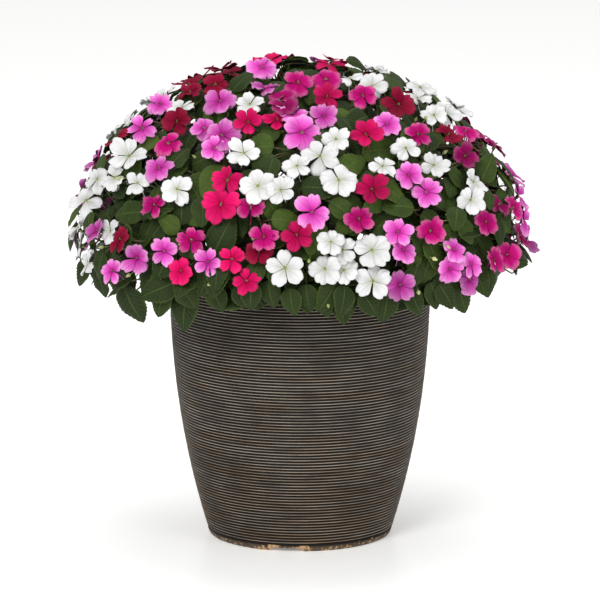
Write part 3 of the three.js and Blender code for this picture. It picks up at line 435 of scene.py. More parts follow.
def moulded_resin():
    """Rotation-moulded resin with a rubbed bronze wash: matt, dark in the grooves, tan where the
    crests are rubbed, and bare and scuffed along the foot. The place attribute gives the share of
    crest, the wear and the share of the pot's height."""
    pot = bpy.context.scene.lizzie_pot
    material, shader, add = new_finish("moulded_resin_bronze_wash")
    space = add("TexCoord").outputs["Object"]
    crested, wear, above = add("SeparateXYZ", add("Attribute", attribute_name="place").outputs[1]).outputs
    # The wash is rubbed on in strokes round the pot, about 40 mm long and one rib high.
    strokes = add("Mapping", space, Scale=(per_metre(40), per_metre(40), per_metre(5)))
    rubbed = add("TexNoise", strokes, Scale=1.0, Detail=4.0, Roughness=0.6)
    patches = add("TexNoise", strokes, Scale=0.45)
    clouds = add("TexNoise", space, Scale=per_metre(45), Detail=3.0)
    speckle = add("TexNoise", space, Scale=per_metre(5), Detail=4.0, Roughness=0.7)
    grain = add("TexNoise", space, Scale=per_metre(0.9), Detail=3.0)
    crest = add("MapRange", crested, 0.35, 0.85)
    amount = add("Math", rubbed, clouds, operation="MULTIPLY")
    bronze = add("Math", crest, add("MapRange", amount, 0.04, 0.32, 0.16), operation="MULTIPLY")
    dark = add("Mix", crest, pot.groove, pot.crest, data_type="RGBA")
    # The wash grows browner toward the foot.
    brown = add("MapRange", add("Math", above, -0.3, patches, operation="MULTIPLY_ADD"), 0.3, 0.66)
    wash = add("Mix", brown, pot.wash, pot.bronze, data_type="RGBA")
    washed = add("Mix", bronze, dark, wash, data_type="RGBA")
    worn = add("MapRange", add("Math", speckle, wear, operation="MULTIPLY"), 0.41, 0.47)
    colour = add("Mix", worn, washed, pot.worn, data_type="RGBA")
    gloss = add("MapRange", clouds, To_Min=0.5, To_Max=0.72)
    bump = add("Bump", Height=grain, Strength=0.5, Distance=0.4 * MM)
    add(shader, Base_Color=colour, Roughness=gloss, Specular_IOR_Level=0.18, Normal=bump)
    return material


def potting_mix():
    """Damp peat and bark: near black, crumbly and matt, with paler fibres."""
    material, shader, add = new_finish("potting_mix_damp_peat")
    crumbs = add("TexNoise", add("TexCoord").outputs["Object"], Scale=per_metre(5), Detail=6.0)
    fibres = add("MapRange", crumbs, 0.35, 0.75)
    colour = add("Mix", fibres, linear("#120c08"), linear("#4a3524"), data_type="RGBA")
    bump = add("Bump", Height=crumbs, Strength=0.8, Distance=1.5 * MM)
    add(shader, Base_Color=colour, Roughness=0.95, Normal=bump)
    return material


def leaf_finish(name, dark, light, fresh, vein, roughness):
    """Living leaf: a waxy skin over green tissue, so it is dark with soft gloss, and its veins are
    a little paler; its edge has a painted highlight. The place attribute gives the share along the midrib
    and across the blade."""
    material, shader, add = new_finish(name)
    space = add("TexCoord").outputs["Object"]
    along, across, number = add("SeparateXYZ", add("Attribute", attribute_name="place").outputs[1]).outputs
    aside = add("Math", across, operation="ABSOLUTE")
    # Side veins leave the midrib every eighth of the leaf and sweep toward the tip.
    lean = add("Math", aside, -SIDE_VEIN_SWEEP, along, operation="MULTIPLY_ADD")
    waves = add("Math", lean, float(SIDE_VEINS), operation="MULTIPLY")
    side_veins = add("MapRange", add("Math", waves, 0.5, operation="PINGPONG"), 0.09, 0.02)
    midrib = add("MapRange", aside, 0.07, 0.03)
    veins = add("Math", side_veins, midrib, operation="MAXIMUM")
    mottle = add("TexNoise", space, Scale=per_metre(9), Detail=3.0)
    # A small number gives the dark green, which paints shade on low and inner leaves.
    share = add("MapRange", add("Math", number, mottle, operation="MULTIPLY"), 0.03, 0.6)
    green = add("Mix", share, linear(dark), linear(light), data_type="RGBA")
    young = add("MapRange", number, 0.8, To_Max=0.6)
    aged = add("Mix", young, green, linear(fresh), data_type="RGBA")
    fine = add("Math", side_veins, 0.17, operation="MULTIPLY")
    thick = add("Math", midrib, 0.28, operation="MULTIPLY")
    # Painted highlight: the blade is paler toward its edge, where it catches the light.
    rim = add("MapRange", aside, 0.84, To_Max=0.3)
    pale = add("Math", add("Math", fine, thick, operation="MAXIMUM"), rim, operation="MAXIMUM")
    colour = add("Mix", pale, aged, linear(vein), data_type="RGBA")
    cells = add("TexNoise", space, Scale=per_metre(1.6))
    height = add("Math", veins, -0.8, cells, operation="MULTIPLY_ADD")
    bump = add("Bump", Height=height, Strength=0.6, Distance=0.8 * MM)
    add(shader, Base_Color=colour, Roughness=roughness, IOR=1.45, Specular_IOR_Level=0.2, Normal=bump)
    return material


def petal_finish(kind, colours):
    """Living petal: thin soft cells that scatter the light, so it is matt. It is deeper at the throat
    and paler to the edge, with faint streaks that fan out from the throat."""
    throat, deep, main, edge = colours
    streak_tones, own_tones = WHITE_TONES if kind == "white" else TONES
    material, shader, add = new_finish(f"petal_{kind}")
    place = add("Attribute", attribute_name="place").outputs["Vector"]
    along, _, number = add("SeparateXYZ", place).outputs
    ramp = add("ValToRGB", along)
    stops = ramp.color_ramp.elements
    stops[0].position, stops[0].color = 0.05, throat
    stops[1].position, stops[1].color = 1.0, edge
    for position, colour in ((0.22, deep), (0.6, main)):
        stops.new(position).color = colour
    # Real streaks are finer. These are an eighth of the petal wide, so that they show.
    fan = add("Mapping", place, Scale=(1.1, 6.0, 60.0))
    streaks = add("TexNoise", fan, Scale=1.0, Detail=3.0)
    value = add("MapRange", streaks, 0.3, 0.7, *streak_tones)
    own = add("MapRange", number, 0.0, 1.0, *own_tones)
    both = add("Math", value, own, operation="MULTIPLY")
    toned = add("HueSaturation", Value=both, Color=ramp)
    bump = add("Bump", Height=streaks, Strength=0.6, Distance=0.8 * MM)
    add(shader, Base_Color=toned, Roughness=0.62, Specular_IOR_Level=0.06, Normal=bump)
    return material


def stem_finish(name, low, high):
    """Succulent stem, bud or stamen: watery and smooth, so it has a soft gloss, and uneven in tone."""
    material, shader, add = new_finish(name)
    tone = add("TexNoise", add("TexCoord").outputs["Object"], Scale=per_metre(25))
    share = add("MapRange", tone, 0.35, 0.65)
    colour = add("Mix", share, linear(low), linear(high), data_type="RGBA")
    add(shader, Base_Color=colour, Roughness=0.38, IOR=1.42)
    return material


# ---- settings ----


def setting(kind, name, default, description, **more):
    return kind(name=name, default=default, description=description, **more)


def Colour(name, code, description):
    kind = partial(FloatVectorProperty, size=4, min=0, max=1, subtype="COLOR")
    return setting(kind, name, linear(code), description)


def Length(name, size, description):
    return setting(FloatProperty, name, size * MM, description, unit="LENGTH")


Power = partial(setting, FloatProperty, unit="POWER")
Count = partial(setting, IntProperty)


class LizziePot(bpy.types.PropertyGroup):
    rim_radius: Length("Rim radius", 171, "Outer radius of the pot at its rim")
    foot_radius: Length("Foot radius", 119, "Outer radius of the pot at its foot")
    rib_pitch: Length("Rib pitch", 4.0, "Distance from one moulded rib to the next")
    rib_depth: Length("Rib depth", 1.3, "Depth of the grooves between the ribs")
    lip: Length("Foot lip", 9, "Height of the plain band at the foot")
    groove: Colour("Groove", "#110c06", "Colour at the bottom of the grooves")
    crest: Colour("Crest", "#3f3933", "Colour of the unrubbed crests")
    wash: Colour("Wash", "#9b9184", "Colour of the rubbed wash")
    bronze: Colour("Bronze", "#8c7154", "Colour of the wash where it is browner")
    worn: Colour("Worn edge", "#b8956c", "Colour of the bare resin along the foot")


class LizzieFoliage(bpy.types.PropertyGroup):
    edge_leaves: Count("Edge leaves", 110, "Leaves that reach out as far as the blooms")
    outer_leaves: Count("Outer leaves", 330, "Leaves set between the blooms")
    inner_leaves: Count("Inner leaves", 280, "Leaves inside the dome")
    under_leaves: Count("Under leaves", 220, "Leaves low inside the dome's overhang")
    tooth: Length("Tooth depth", 0.9, "Depth of the teeth along a leaf's edge")
    thickness: Length("Leaf thickness", 0.5, "Thickness of a leaf")


class LizzieBlooms(bpy.types.PropertyGroup):
    thickness: Length("Petal thickness", 0.35, "Thickness of a petal")
    spur: Length("Spur", 26, "Length of the spur behind a bloom")
    bud: Length("Bud", 8.5, "Length of a closed bud")
    white: Colour("White", "#d6d6d6", "Colour of the white petals")
    lilac: Colour("Lilac", "#ca57b0", "Colour of the lilac petals")
    magenta: Colour("Magenta", "#a60b67", "Colour of the magenta petals")
    rose: Colour("Rose", "#c00a56", "Colour of the rose petals")
    crimson: Colour("Crimson", "#78062a", "Colour of the crimson petals")


class LizzieStage(bpy.types.PropertyGroup):
    floor: Colour("Floor", "#fbfbfa", "Colour of the studio floor")
    floor_glow: setting(FloatProperty, "Floor glow", 0.23, "Light that the floor gives off")
    key_light: Power("Key light", 190, "Power of the key light")
    fill_light: Power("Fill light", 55, "Power of the fill light")
    top_light: Power("Top light", 60, "Power of the top light")


# ---- pot ----

POT_SIDES = 128
RIM_BAND = 6
RIB_WAVES = ((3, 0.1), (11, 0.09), (37, 0.07))  # waves round a rib, and how far each stands out in mm
# A rib across its pitch: the share of the pitch, the share of the groove's depth and the crest.
RIB = ((0.02, 1, 0), (0.62, 0.9, 0), (0.76, 1 / 13, 1), (0.9, 0, 1))
WEAR_SPREAD = 9


def pot_radius(height, pot):
    share = height / POT_HEIGHT
    foot, rim = pot.foot_radius / MM, pot.rim_radius / MM
    return foot + (rim - foot) * (1 - (1 - share) ** POT_BELLY)


def pot_profile(pot):
    """Rows of radius, height, share of crest, share of wear and wobble, in a closed loop."""
    lip, pitch, depth = pot.lip / MM, pot.rib_pitch / MM, pot.rib_depth / MM
    foot, rim = pot.foot_radius / MM, pot.rim_radius / MM
    ring = foot - FOOT_RING
    rows = [
        (DRAIN_RADIUS, POT_FLOOR, 0, 0, 0),
        (DRAIN_RADIUS, FOOT_RISE, 0, 0, 0),
        (ring - 1, FOOT_RISE, 0, 0, 0),
        (ring, 0, 0, 0.6, 0),
        (foot - 2.5, 0, 0, 1, 0),
        (foot - 0.6, 0.7, 0.5, 1, 2),
        (pot_radius(2.5, pot), 2.5, 0.5, 1, 2),
        (pot_radius(lip - 2, pot), lip - 2, 0.45, 0.86, 2),
        (pot_radius(lip, pot) - 0.4, lip - 0.5, 0.3, 0.78, 1),
    ]
    count = round((POT_HEIGHT - RIM_BAND - lip) / pitch)
    pitch = (POT_HEIGHT - RIM_BAND - lip) / count
    for i in range(count):
        for share, sunk, crest in RIB:
            height = lip + (i + share) * pitch
            rows.append((pot_radius(height, pot) - sunk * depth, height, crest, 0.12, 1))
    rows += [
        (rim - depth, POT_HEIGHT - RIM_BAND + 0.4, 0, 0, 1),
        (rim - 0.2, POT_HEIGHT - RIM_BAND + 1.2, 1, 0.1, 1),
        (rim, POT_HEIGHT - 1.5, 1, 0.3, 1),
        (rim - 1.2, POT_HEIGHT, 1, 0.3, 0),
        (rim - POT_WALL + 1.2, POT_HEIGHT, 0.5, 0.1, 0),
        (rim - POT_WALL, POT_HEIGHT - 1.5, 0, 0, 0),
    ]
    for height in np.linspace(SOIL_TOP, POT_FLOOR, 9):
        rows.append((pot_radius(height, pot) - POT_WALL, height, 0, 0, 0))
    return rows


def notched(ring, radius, foot):
    """Lifts the foot's corners inside each cut-out to the cut-out's roof."""
    if radius < foot - FOOT_RING - 2 or ring[0][2] > NOTCH_HEIGHT:
        return ring
    for i in range(NOTCHES):
        turn = -pi / 2 + 2 * pi * i / NOTCHES
        aside = -ring[:, 0] * sin(turn) + ring[:, 1] * cos(turn)
        ahead = ring[:, 0] * cos(turn) + ring[:, 1] * sin(turn)
        middle = NOTCH_ASIDE if i == 0 else 0
        inside = (np.abs(aside - middle) < NOTCH_WIDTH / 2) & (ahead > 0)
        ring[inside, 2] = np.maximum(ring[inside, 2], NOTCH_HEIGHT)
    return ring


def pot_wear(ring, worn):
    """The wear of a ring's corners, which is more beside the front cut-out."""
    x, y, z = ring.T
    beside = np.exp(-(((np.abs(x - NOTCH_ASIDE) - NOTCH_WIDTH / 2) / WEAR_SPREAD) ** 2))
    return worn * (0.8 + 0.5 * beside * (y < 0) * (z < WEAR_SPREAD))


class LIZZIE_OT_pot(bpy.types.Operator):
    """Makes the ribbed pot, with its plain lip, foot ring and cut-outs"""

    bl_idname = "lizzie.pot"
    bl_label = "Ribbed pot"

    def execute(self, context):
        pot = context.scene.lizzie_pot
        draw = np.random.default_rng(41)
        rows = pot_profile(pot)
        starts = draw.uniform(0, 2 * pi, (len(rows), len(RIB_WAVES)))
        angles = 2 * pi * np.arange(POT_SIDES) / POT_SIDES
        rings, places = [], []
        for (radius, height, crest, worn, wobble), start in zip(rows, starts):
            waves = [high * np.sin(count * angles + turn) for (count, high), turn in zip(RIB_WAVES, start)]
            out = radius + wobble * sum(waves)
            above = height + wobble * 0.8 * np.roll(waves[0] + waves[1], 9)
            ring = np.column_stack([out * np.cos(angles), out * np.sin(angles), above])
            rings.append(notched(ring, radius, pot.foot_radius / MM))
            place = np.broadcast_arrays(crest, pot_wear(rings[-1], worn), height / POT_HEIGHT)
            places.append(np.column_stack(place))
        here = np.arange(len(rows) * POT_SIDES).reshape(len(rows), POT_SIDES)
        there = np.roll(here, -1, axis=1)
        faces = np.stack([here, there, np.roll(there, -1, axis=0), np.roll(here, -1, axis=0)], axis=-1)
        growth = Growth()
        growth.add(np.concatenate(rings), faces.reshape(-1, 4), 0, np.concatenate(places))
        growth.finish("ribbed_pot", [moulded_resin()], "pot_resin", "pot")
        return {"FINISHED"}


# ---- soil ----

SOIL_SIDES = 120
SOIL_RINGS = 26
CRUMBS = 260


def soil_height(radius, edge):
    return SOIL_TOP + SOIL_CROWN * (1 - (radius / edge) ** 4)


def add_crumbs(growth, draw, edge):
    """Bits of bark and peat, half sunk in the surface."""
    work = bmesh.new()
    bmesh.ops.create_icosphere(work, subdivisions=1, radius=1)
    ball = np.array([vertex.co for vertex in work.verts])
    faces = [[vertex.index for vertex in face.verts] for face in work.faces]
    work.free()
    for _ in range(CRUMBS):
        radius, turn = edge * 0.95 * sqrt(draw.random()), draw.uniform(0, 2 * pi)
        place = (radius * cos(turn), radius * sin(turn), soil_height(radius, edge))
        size = draw.uniform(1.5, 4.5) * np.array([1, draw.uniform(0.5, 1), draw.uniform(0.4, 0.8)])
        shape = ball * size * draw.uniform(0.8, 1.15, (len(ball), 1))
        growth.add(turned(shape, turn * 3) + place, faces, 0, (0, 0, 0), False)


class LIZZIE_OT_soil(bpy.types.Operator):
    """Makes the crumbly potting mix that fills the pot"""

    bl_idname = "lizzie.soil"
    bl_label = "Potting mix"

    def execute(self, context):
        pot = context.scene.lizzie_pot
        draw = np.random.default_rng(42)
        growth = Growth()
        rings = []
        for height in np.linspace(POT_FLOOR + SOIL_GAP, SOIL_TOP, 7):
            edge = pot_radius(height, pot) - POT_WALL - SOIL_GAP
            rings.append(level_ring(SOIL_SIDES, edge, height))
        for radius in np.linspace(edge, 2, SOIL_RINGS + 1)[1:]:
            ring = level_ring(SOIL_SIDES, radius, soil_height(radius, edge))
            x, y, z = ring.T
            z += 1.3 * np.sin(x / 7 + 2 * np.sin(y / 11)) * np.cos(y / 6 - x / 13)
            z += draw.normal(0, 0.6, SOIL_SIDES)
            rings.append(ring)
        growth.add_rings(rings, 0, 0)
        add_crumbs(growth, draw, edge)
        growth.finish("potting_mix", [potting_mix()], "soil", "soil")
        return {"FINISHED"}


# ---- leaves ----

LEAF_TOP, LEAF_UNDER, STEM = 0, 1, 2

FULL_LEAF_GRID = (23, 9)
PLAIN_LEAF_COLUMNS = 5  # a leaf with no more columns than this has no midrib under it
LEAF_STALK_AT = 0.07
LEAF_KEEL = 1.9
LEAF_CROWN = 3.0
LEAF_GROOVE = 1.6
LEAF_QUILT = 1.1
LEAF_TWIST = 0.22
FRAME_LEAF_BROAD = 1.04
# Painted shade: leaves low on the dome have their green darkened.
LOW_LEAF_HEIGHT = 415  # mm: leaves lower than this get painted shade, a darker green
LOW_LEAF_PAINTED_SHADE = 0.26
# Painted shade: the plain leaves inside the dome have their green darkened.
INNER_LEAF_PAINTED_SHADE = 0.4
MIDRIB_SHARES = np.array([LEAF_STALK_AT, 0.14, 0.3, 0.55, 0.8, 0.95])
MIDRIB_DEPTHS = np.array([LEAF_KEEL + 0.6, 0.9, 0.5, 0.4, 0.3, 0.2])
MIDRIB_RADII = (1.0, 1.0, 0.8, 0.65, 0.45, 0.2)

# Leaves between the blooms, rank by rank: the setting that counts them, how far out and how high
# on the dome they start, how far they turn up to the light, and a blade's rows and columns.
LEAF_RANKS = (
    ("edge_leaves", (0.97, 1.005), (-0.3, 0.99), 0.2, (19, 7)),
    ("outer_leaves", (0.88, 0.985), (-0.32, 0.99), 0.3, (19, 7)),
    ("inner_leaves", (0.66, 0.92), (-0.32, 0.99), 0.8, (13, 5)),
    ("under_leaves", (0.68, 0.95), (-0.34, 0.4), 1.4, (13, 5)),
)
LEAF_TRIES = 30
LONGEST_STALK = 95
LOWEST_LEAF = 343  # mm: the leaves between the blooms hang no lower
POT_ROOM = 177  # mm: no such leaf comes nearer than this to the pot's axis beside its rim
LEAF_NEAR = 90  # mm: leaves meet only where their bases are nearer than this
BLOOM_BACK, BLOOM_FRONT = -4, 45  # mm kept clear of leaves behind and before a bloom
STEM_SCALE = 0.84  # stalks leave the stems inside this scale of the dome

# Spots that are tested on a leaf: the share along it, and across it as a share of its half breadth.
SPOTS_ASIDE = ((0.15, 0.6), (0.3, 1), (0.5, 0.95), (0.65, 0.75), (0.83, 0.4))
LEAF_SPOTS = np.array(
    [(along, 0) for along in (0, 0.3, 0.65, 1)]
    + [(along, side * across) for along, across in SPOTS_ASIDE for side in (1, -1)]
)


def add_leaf(growth, leaf, draw, grid, foliage):
    """One toothed, quilted leaf on its midrib. The rows of its grid run from base to tip."""
    rows, columns = grid
    length = leaf["length"]
    breadth = length * LEAF_BROAD * leaf.get("broad", FRAME_LEAF_BROAD)
    is_plain = columns <= PLAIN_LEAF_COLUMNS
    number = draw.random()
    # Painted shade: low leaves and plain inner leaves get a smaller number and so a darker green.
    if leaf["base"][2] < LOW_LEAF_HEIGHT:
        number *= LOW_LEAF_PAINTED_SHADE
    elif is_plain:
        number *= INNER_LEAF_PAINTED_SHADE
    t, a = blade_grid(rows, columns, 0, 0.98)
    hump = np.sin(pi * t)
    half = breadth / 2 * np.maximum(np.sin(pi * t**0.69), 0) ** 0.79 + 0.25
    is_edge = np.abs(a) > 0.99
    is_tooth = (np.arange(rows) % 2 == 0)[:, None] & is_edge
    tooth = foliage.tooth / MM * np.minimum(1, half / 6) / 2
    half = half + np.where(is_tooth, tooth, np.where(is_edge, -tooth, 0))
    x = t * length + np.where(is_tooth, 0.5 * length / (rows - 1) * hump, 0)
    y = half * a
    phase = SIDE_VEINS * (t - SIDE_VEIN_SWEEP * np.abs(a))
    quilt = LEAF_QUILT * np.abs(np.sin(pi * phase)) * (1 - a**4)
    swell = LEAF_CROWN * (1 - a**2)
    groove = -LEAF_GROOVE * np.exp(-((a / 0.13) ** 2)) * np.sin(pi * np.minimum(1, t * 1.05))
    waves = draw.uniform(0.4, 1.6) * np.sin(2 * pi * (2.2 * t + draw.random()) + np.sign(a)) * a**4
    fold = draw.uniform(-0.04, 0.2) * np.abs(y)
    twist = draw.uniform(-LEAF_TWIST, LEAF_TWIST) * y * t
    z = -LEAF_ARCH * length * t**2 + (quilt + swell + waves + fold) * hump + groove + twist
    top = np.stack([x, y, z], axis=-1)
    thickness, base, axes = foliage.thickness / MM, leaf["base"], leaf["axes"]
    add_sheet(growth, top, thickness, (LEAF_TOP, LEAF_UNDER), t, a, number, base, axes)
    if is_plain:
        return
    ridge = np.interp(MIDRIB_SHARES, t[:, 0], z[:, columns // 2]) - MIDRIB_DEPTHS
    midrib = np.column_stack([MIDRIB_SHARES * length, MIDRIB_SHARES * 0, ridge])
    add_bar(growth, placed(midrib, base, axes), MIDRIB_RADII, STEM, number)


def clashes(leaf, taken):
    """Whether a leaf would cut or cover a bloom, or cut a leaf that is there already."""
    along, across = LEAF_SPOTS.T
    spots = np.column_stack([along, across * LEAF_BROAD / 2, -LEAF_ARCH * along**2]) * leaf["length"]
    spots = placed(spots, leaf["base"], leaf["axes"])
    near_pot = (spots[:, 2] < POT_HEIGHT + 5) & (np.hypot(spots[:, 0], spots[:, 1]) < POT_ROOM)
    if (spots[:, 2] < LOWEST_LEAF).any() or near_pot.any():
        return True
    offsets = spots[:, None, :] - CENTRES
    heights = (offsets * AXES[:, 2]).sum(axis=2)
    spans = np.sqrt(np.maximum((offsets**2).sum(axis=2) - heights**2, 0))
    if ((spans < RADII * 1.02) & (heights > BLOOM_BACK) & (heights < BLOOM_FRONT)).any():
        return True
    bases = np.array([other["base"] for other in taken])
    for i in np.nonzero(norm(bases - leaf["base"], axis=1) < LEAF_NEAR)[0]:
        other = taken[i]
        local = (spots - other["base"]) @ other["axes"].T
        along, across = local[:, 0] / other["length"], local[:, 1] / other["length"]
        above = local[:, 2] + LEAF_ARCH * other["length"] * along**2 - 1
        if ((along > 0.05) & (along < 0.95) & (np.abs(across) < 0.28) & (np.abs(above) < 1.6)).any():
            return True
    return False


def add_stalk(growth, root, leaf, draw):
    """A leaf stalk that bends from its stem to the underside of its leaf."""
    foot = placed(np.array([LEAF_STALK_AT * leaf["length"], 0, -LEAF_KEEL]), leaf["base"], leaf["axes"])
    bend = foot - 14 * leaf["axes"][0] - 9 * leaf["axes"][2]
    add_bar(growth, bent_path(root, bend, foot, 5), np.linspace(1.3, 0.95, 5), STEM, draw.random())


class LIZZIE_OT_plants(bpy.types.Operator):
    """Makes every plant's stems and leaves, with more leaves between and behind the blooms"""

    bl_idname = "lizzie.plants"
    bl_label = "Stems and leaves"

    def execute(self, context):
        foliage = context.scene.lizzie_foliage
        draw = np.random.default_rng(43)
        self.growths = {name: Growth() for name in PLANTS}
        stems, self.owners = [], []
        self.taken = [leaf for name in PLANTS for leaf in READ[name][0]]
        for name, growth in self.growths.items():
            blades, points, faces = READ[name]
            corners = add_stems(growth, points, faces, STEM, draw.random())
            inside = (dome_scale(corners) < STEM_SCALE) & (corners[:, 2] > SOIL_TOP + 20)
            stems.append(corners[inside])
            self.owners += [name] * inside.sum()
            for leaf in blades:
                add_leaf(growth, leaf, draw, FULL_LEAF_GRID, foliage)
        self.stems = np.concatenate(stems)
        for rank, *places in LEAF_RANKS:
            self.add_between(draw, foliage, getattr(foliage, rank), *places)
        top = leaf_finish("leaf_waxy_upper_skin", "#0c1502", "#374f0a", "#475e0e", "#71863a", 0.3)
        under = leaf_finish("leaf_matt_underside", "#1e2c0b", "#3c5018", "#4b5f1f", "#647838", 0.58)
        stem = stem_finish("stem_succulent_green", "#3d5226", "#553c2a")
        for i, name in enumerate(PLANTS):
            self.growths[name].finish(f"plant_{i + 1:02d}_foliage", [top, under, stem], "foliage", name)
        return {"FINISHED"}

    def add_between(self, draw, foliage, wanted, scales, rises, lift, grid):
        """Sets leaves at random over the dome, wherever no bloom is crossed or covered."""
        for _ in range(wanted * LEAF_TRIES):
            if wanted == 0:
                break
            high = draw.uniform(*rises)
            turn, wide = draw.uniform(0, 2 * pi), sqrt(1 - high**2)
            way = np.array([cos(turn) * wide, sin(turn) * wide, high])
            base = DOME_MIDDLE + DOME * draw.uniform(*scales) * way
            normal = dome_normal(base)
            outward = unit(base * (1, 1, 0))
            facing = unit(normal + lift * UP + 0.6 * max(0, normal[2]) * outward + draw.normal(0, 0.24, 3))
            down = unit(np.cross(np.cross(facing, -UP + 1e-3), facing))
            turn = draw.normal(0, 1.2)
            heading = cos(turn) * down + sin(turn) * np.cross(facing, down)
            axes = np.array([heading, np.cross(facing, heading), facing])
            leaf = {"base": base, "length": draw.uniform(35, 56), "axes": axes}
            leaf["broad"] = draw.uniform(0.85, 1.05)
            if clashes(leaf, self.taken):
                continue
            nearest = np.argmin(norm(self.stems - (base - 8 * heading - 8 * facing), axis=1))
            root, growth = self.stems[nearest], self.growths[self.owners[nearest]]
            if norm(root - base) > LONGEST_STALK:
                continue
            add_leaf(growth, leaf, draw, grid, foliage)
            add_stalk(growth, root, leaf, draw)
            self.taken.append(leaf)
            wanted -= 1


# ---- blooms ----

PETAL, STALK, STAMENS, BUD = 0, 1, 2, 3

# How far each petal stands forward of the first one, in mm: the lower ones lie over the upper ones.
PETAL_LIFT = (0.0, 0.7, 1.4, 1.9, 0.7)
PETAL_GRID = (7, 9)
PETAL_SHOULDER = 0.36
PETAL_CREASE = 1.8
THROAT = ((0.9, -6.2), (1.5, -4.6), (2.4, -2.9), (2.9, -1.6), (1.6, -0.9))
KNOB = ((0.3, -1.6), (0.6, -0.6), (0.68, 0.5), (0.5, 1.2), (0.2, 1.5))

BUD_SHARES = np.array([0, 0.08, 0.28, 0.52, 0.76, 0.92, 1])
BUD_WIDTHS = np.array([0.3, 0.72, 1, 0.95, 0.6, 0.26, 0.08])
BUD_SCALE = 0.985
BUD_STALK = 0.75

# Buds that show in the front elevation, by their finish: across and down.
FRONT_BUDS = {
    BUD: (
        *((122, 178), (104, 247), (131, 274), (184, 245), (211, 284), (309, 260), (418, 291)),
        *((432, 258), (445, 246), (328, 303), (425, 119)),
    ),
    PETAL: ((451, 220), (274, 235)),
}

# Blooms that are lighter or deeper than most of their kind, in the same elevation, by their shade.
SHADED_BLOOMS = {
    0.78: (
        *((227, 180), (221, 204), (409, 175), (312, 212), (302, 132), (450, 269), (262, 67), (427, 192)),
        *((344, 270), (164, 251), (264, 237), (398, 232), (114, 177), (168, 143), (494, 260), (120, 239)),
        *((208, 262), (418, 134), (259, 252), (326, 79), (454, 250)),
    ),
    0.0: ((265, 88), (400, 285), (372, 189)),
}
SHADE_SPREAD = 0.22

# How a petal's deeper and paler parts follow from its main colour.
THROAT_TINT = (0.5, 0.12, 0.4, 1)
DEEP_TINT = (0.76, 0.22, 0.6, 1)
PALE_EDGES = {"white": 0.0, "lilac": 0.22, "magenta": 0.1, "rose": 0.016, "crimson": 0.012}


def add_petal(growth, bloom, petal, bloom_number, opening, broad, draw, thickness):
    """One petal of five: a heart with rounded shoulders and a shallow notch in its outer edge."""
    turn = 2 * pi * petal / PETALS + draw.normal(0, 0.1)
    number = min(1, max(0, bloom_number + draw.normal(0, 0.1)))
    reach = PETAL_REACH[petal] * draw.uniform(0.96, 1.04)
    s, a = blade_grid(*PETAL_GRID, 0.04, 0.86)
    radius = bloom["radius"] * reach * draw.uniform(1.03, 1.12)
    half = radius * broad * draw.uniform(0.92, 1.08) * np.sin(pi * 0.66 * s**1.2)
    shoulder = PETAL_SHOULDER * s**1.6 * (1 - np.sqrt(1 - (0.97 * a) ** 2))
    notch = draw.uniform(0.05, 0.13) * s**6 * np.exp(-((a / 0.24) ** 2))
    x = half * a
    y = radius * (s - shoulder - notch)
    cup = draw.uniform(-3.2, 3.4) * s * a**2
    roll = draw.uniform(-0.6, 4.2) * s**3
    crease = PETAL_CREASE * np.exp(-((a / 0.2) ** 2)) * np.sin(pi * s)
    ruffle = draw.uniform(0.7, 2.3) * np.sin(pi * (1.6 * a + 2 * draw.random())) * s**2
    z = -BLOOM_DISH * (1 - s) ** 2 + PETAL_LIFT[petal] * s**0.5 + cup - roll - crease + ruffle
    z += (opening + draw.uniform(-0.22, 0.28)) * y + draw.uniform(-0.42, 0.42) * x * s
    top = np.stack([x, y, z], axis=-1)
    top = turned(top.reshape(-1, 3), turn).reshape(top.shape)[:, ::-1]
    add_sheet(growth, top, thickness, (PETAL, PETAL), s, a, number, bloom["centre"], bloom["axes"])


def add_bloom(growth, bloom, draw, blooms):
    """A bloom on its throat: five petals, the knob of stamens and the spur behind."""
    number = draw.random()
    if "shade" in bloom:
        number = bloom["shade"] + SHADE_SPREAD * number
    opening = draw.uniform(-0.12, 0.2)
    broad = draw.uniform(0.375, 0.47)
    centre, axes = bloom["centre"], bloom["axes"]
    for petal in range(PETALS):
        add_petal(growth, bloom, petal, number, opening, broad, draw, blooms.thickness / MM)
    add_turned(growth, THROAT, STALK, number, centre, axes)
    add_turned(growth, KNOB, STAMENS, number, centre + 0.8 * axes[1], axes)
    length = blooms.spur / MM * draw.uniform(0.8, 1.15)
    shares = np.linspace(0, 1, 9)
    back = -3 - length * 0.7 * np.sin(draw.uniform(0.7, 1.3) * shares * pi / 2)
    down = -1.5 - 0.12 * length * shares - 0.3 * length * shares**2
    spur = np.column_stack([draw.normal(0, 0.12) * shares * length, down, back])
    radii = np.interp(shares, [0, 0.25, 1], [1.5, 0.75, 0.35])
    add_bar(growth, placed(spur, centre, axes), radii, PETAL, number)


def add_bud(growth, root, place, heading, draw, length, finish):
    """A closed bud, pointed at its tip, on a bent stalk from the spray's hub."""
    number = draw.random()
    axes = axes_of(heading, np.array([0.3, 0.2, 1.0]))
    belly = length * draw.uniform(0.26, 0.32)
    add_turned(growth, zip(BUD_WIDTHS * belly, BUD_SHARES * length), finish, number, place, axes)
    bend = place - heading * 0.4 * norm(place - root)
    add_bar(growth, bent_path(root, bend, place + heading, 7), BUD_STALK, STALK, number)


def bloom_in_sight(across, down):
    """The bloom on the front whose centre lies nearest to a line of sight."""
    way = sight_through(across, down)
    offsets = CENTRES - EYE
    misses = norm(offsets - np.outer(offsets @ way, way), axis=1)
    return BLOOMS[int(np.argmin(np.where(CENTRES[:, 1] < 0, misses, np.inf)))]


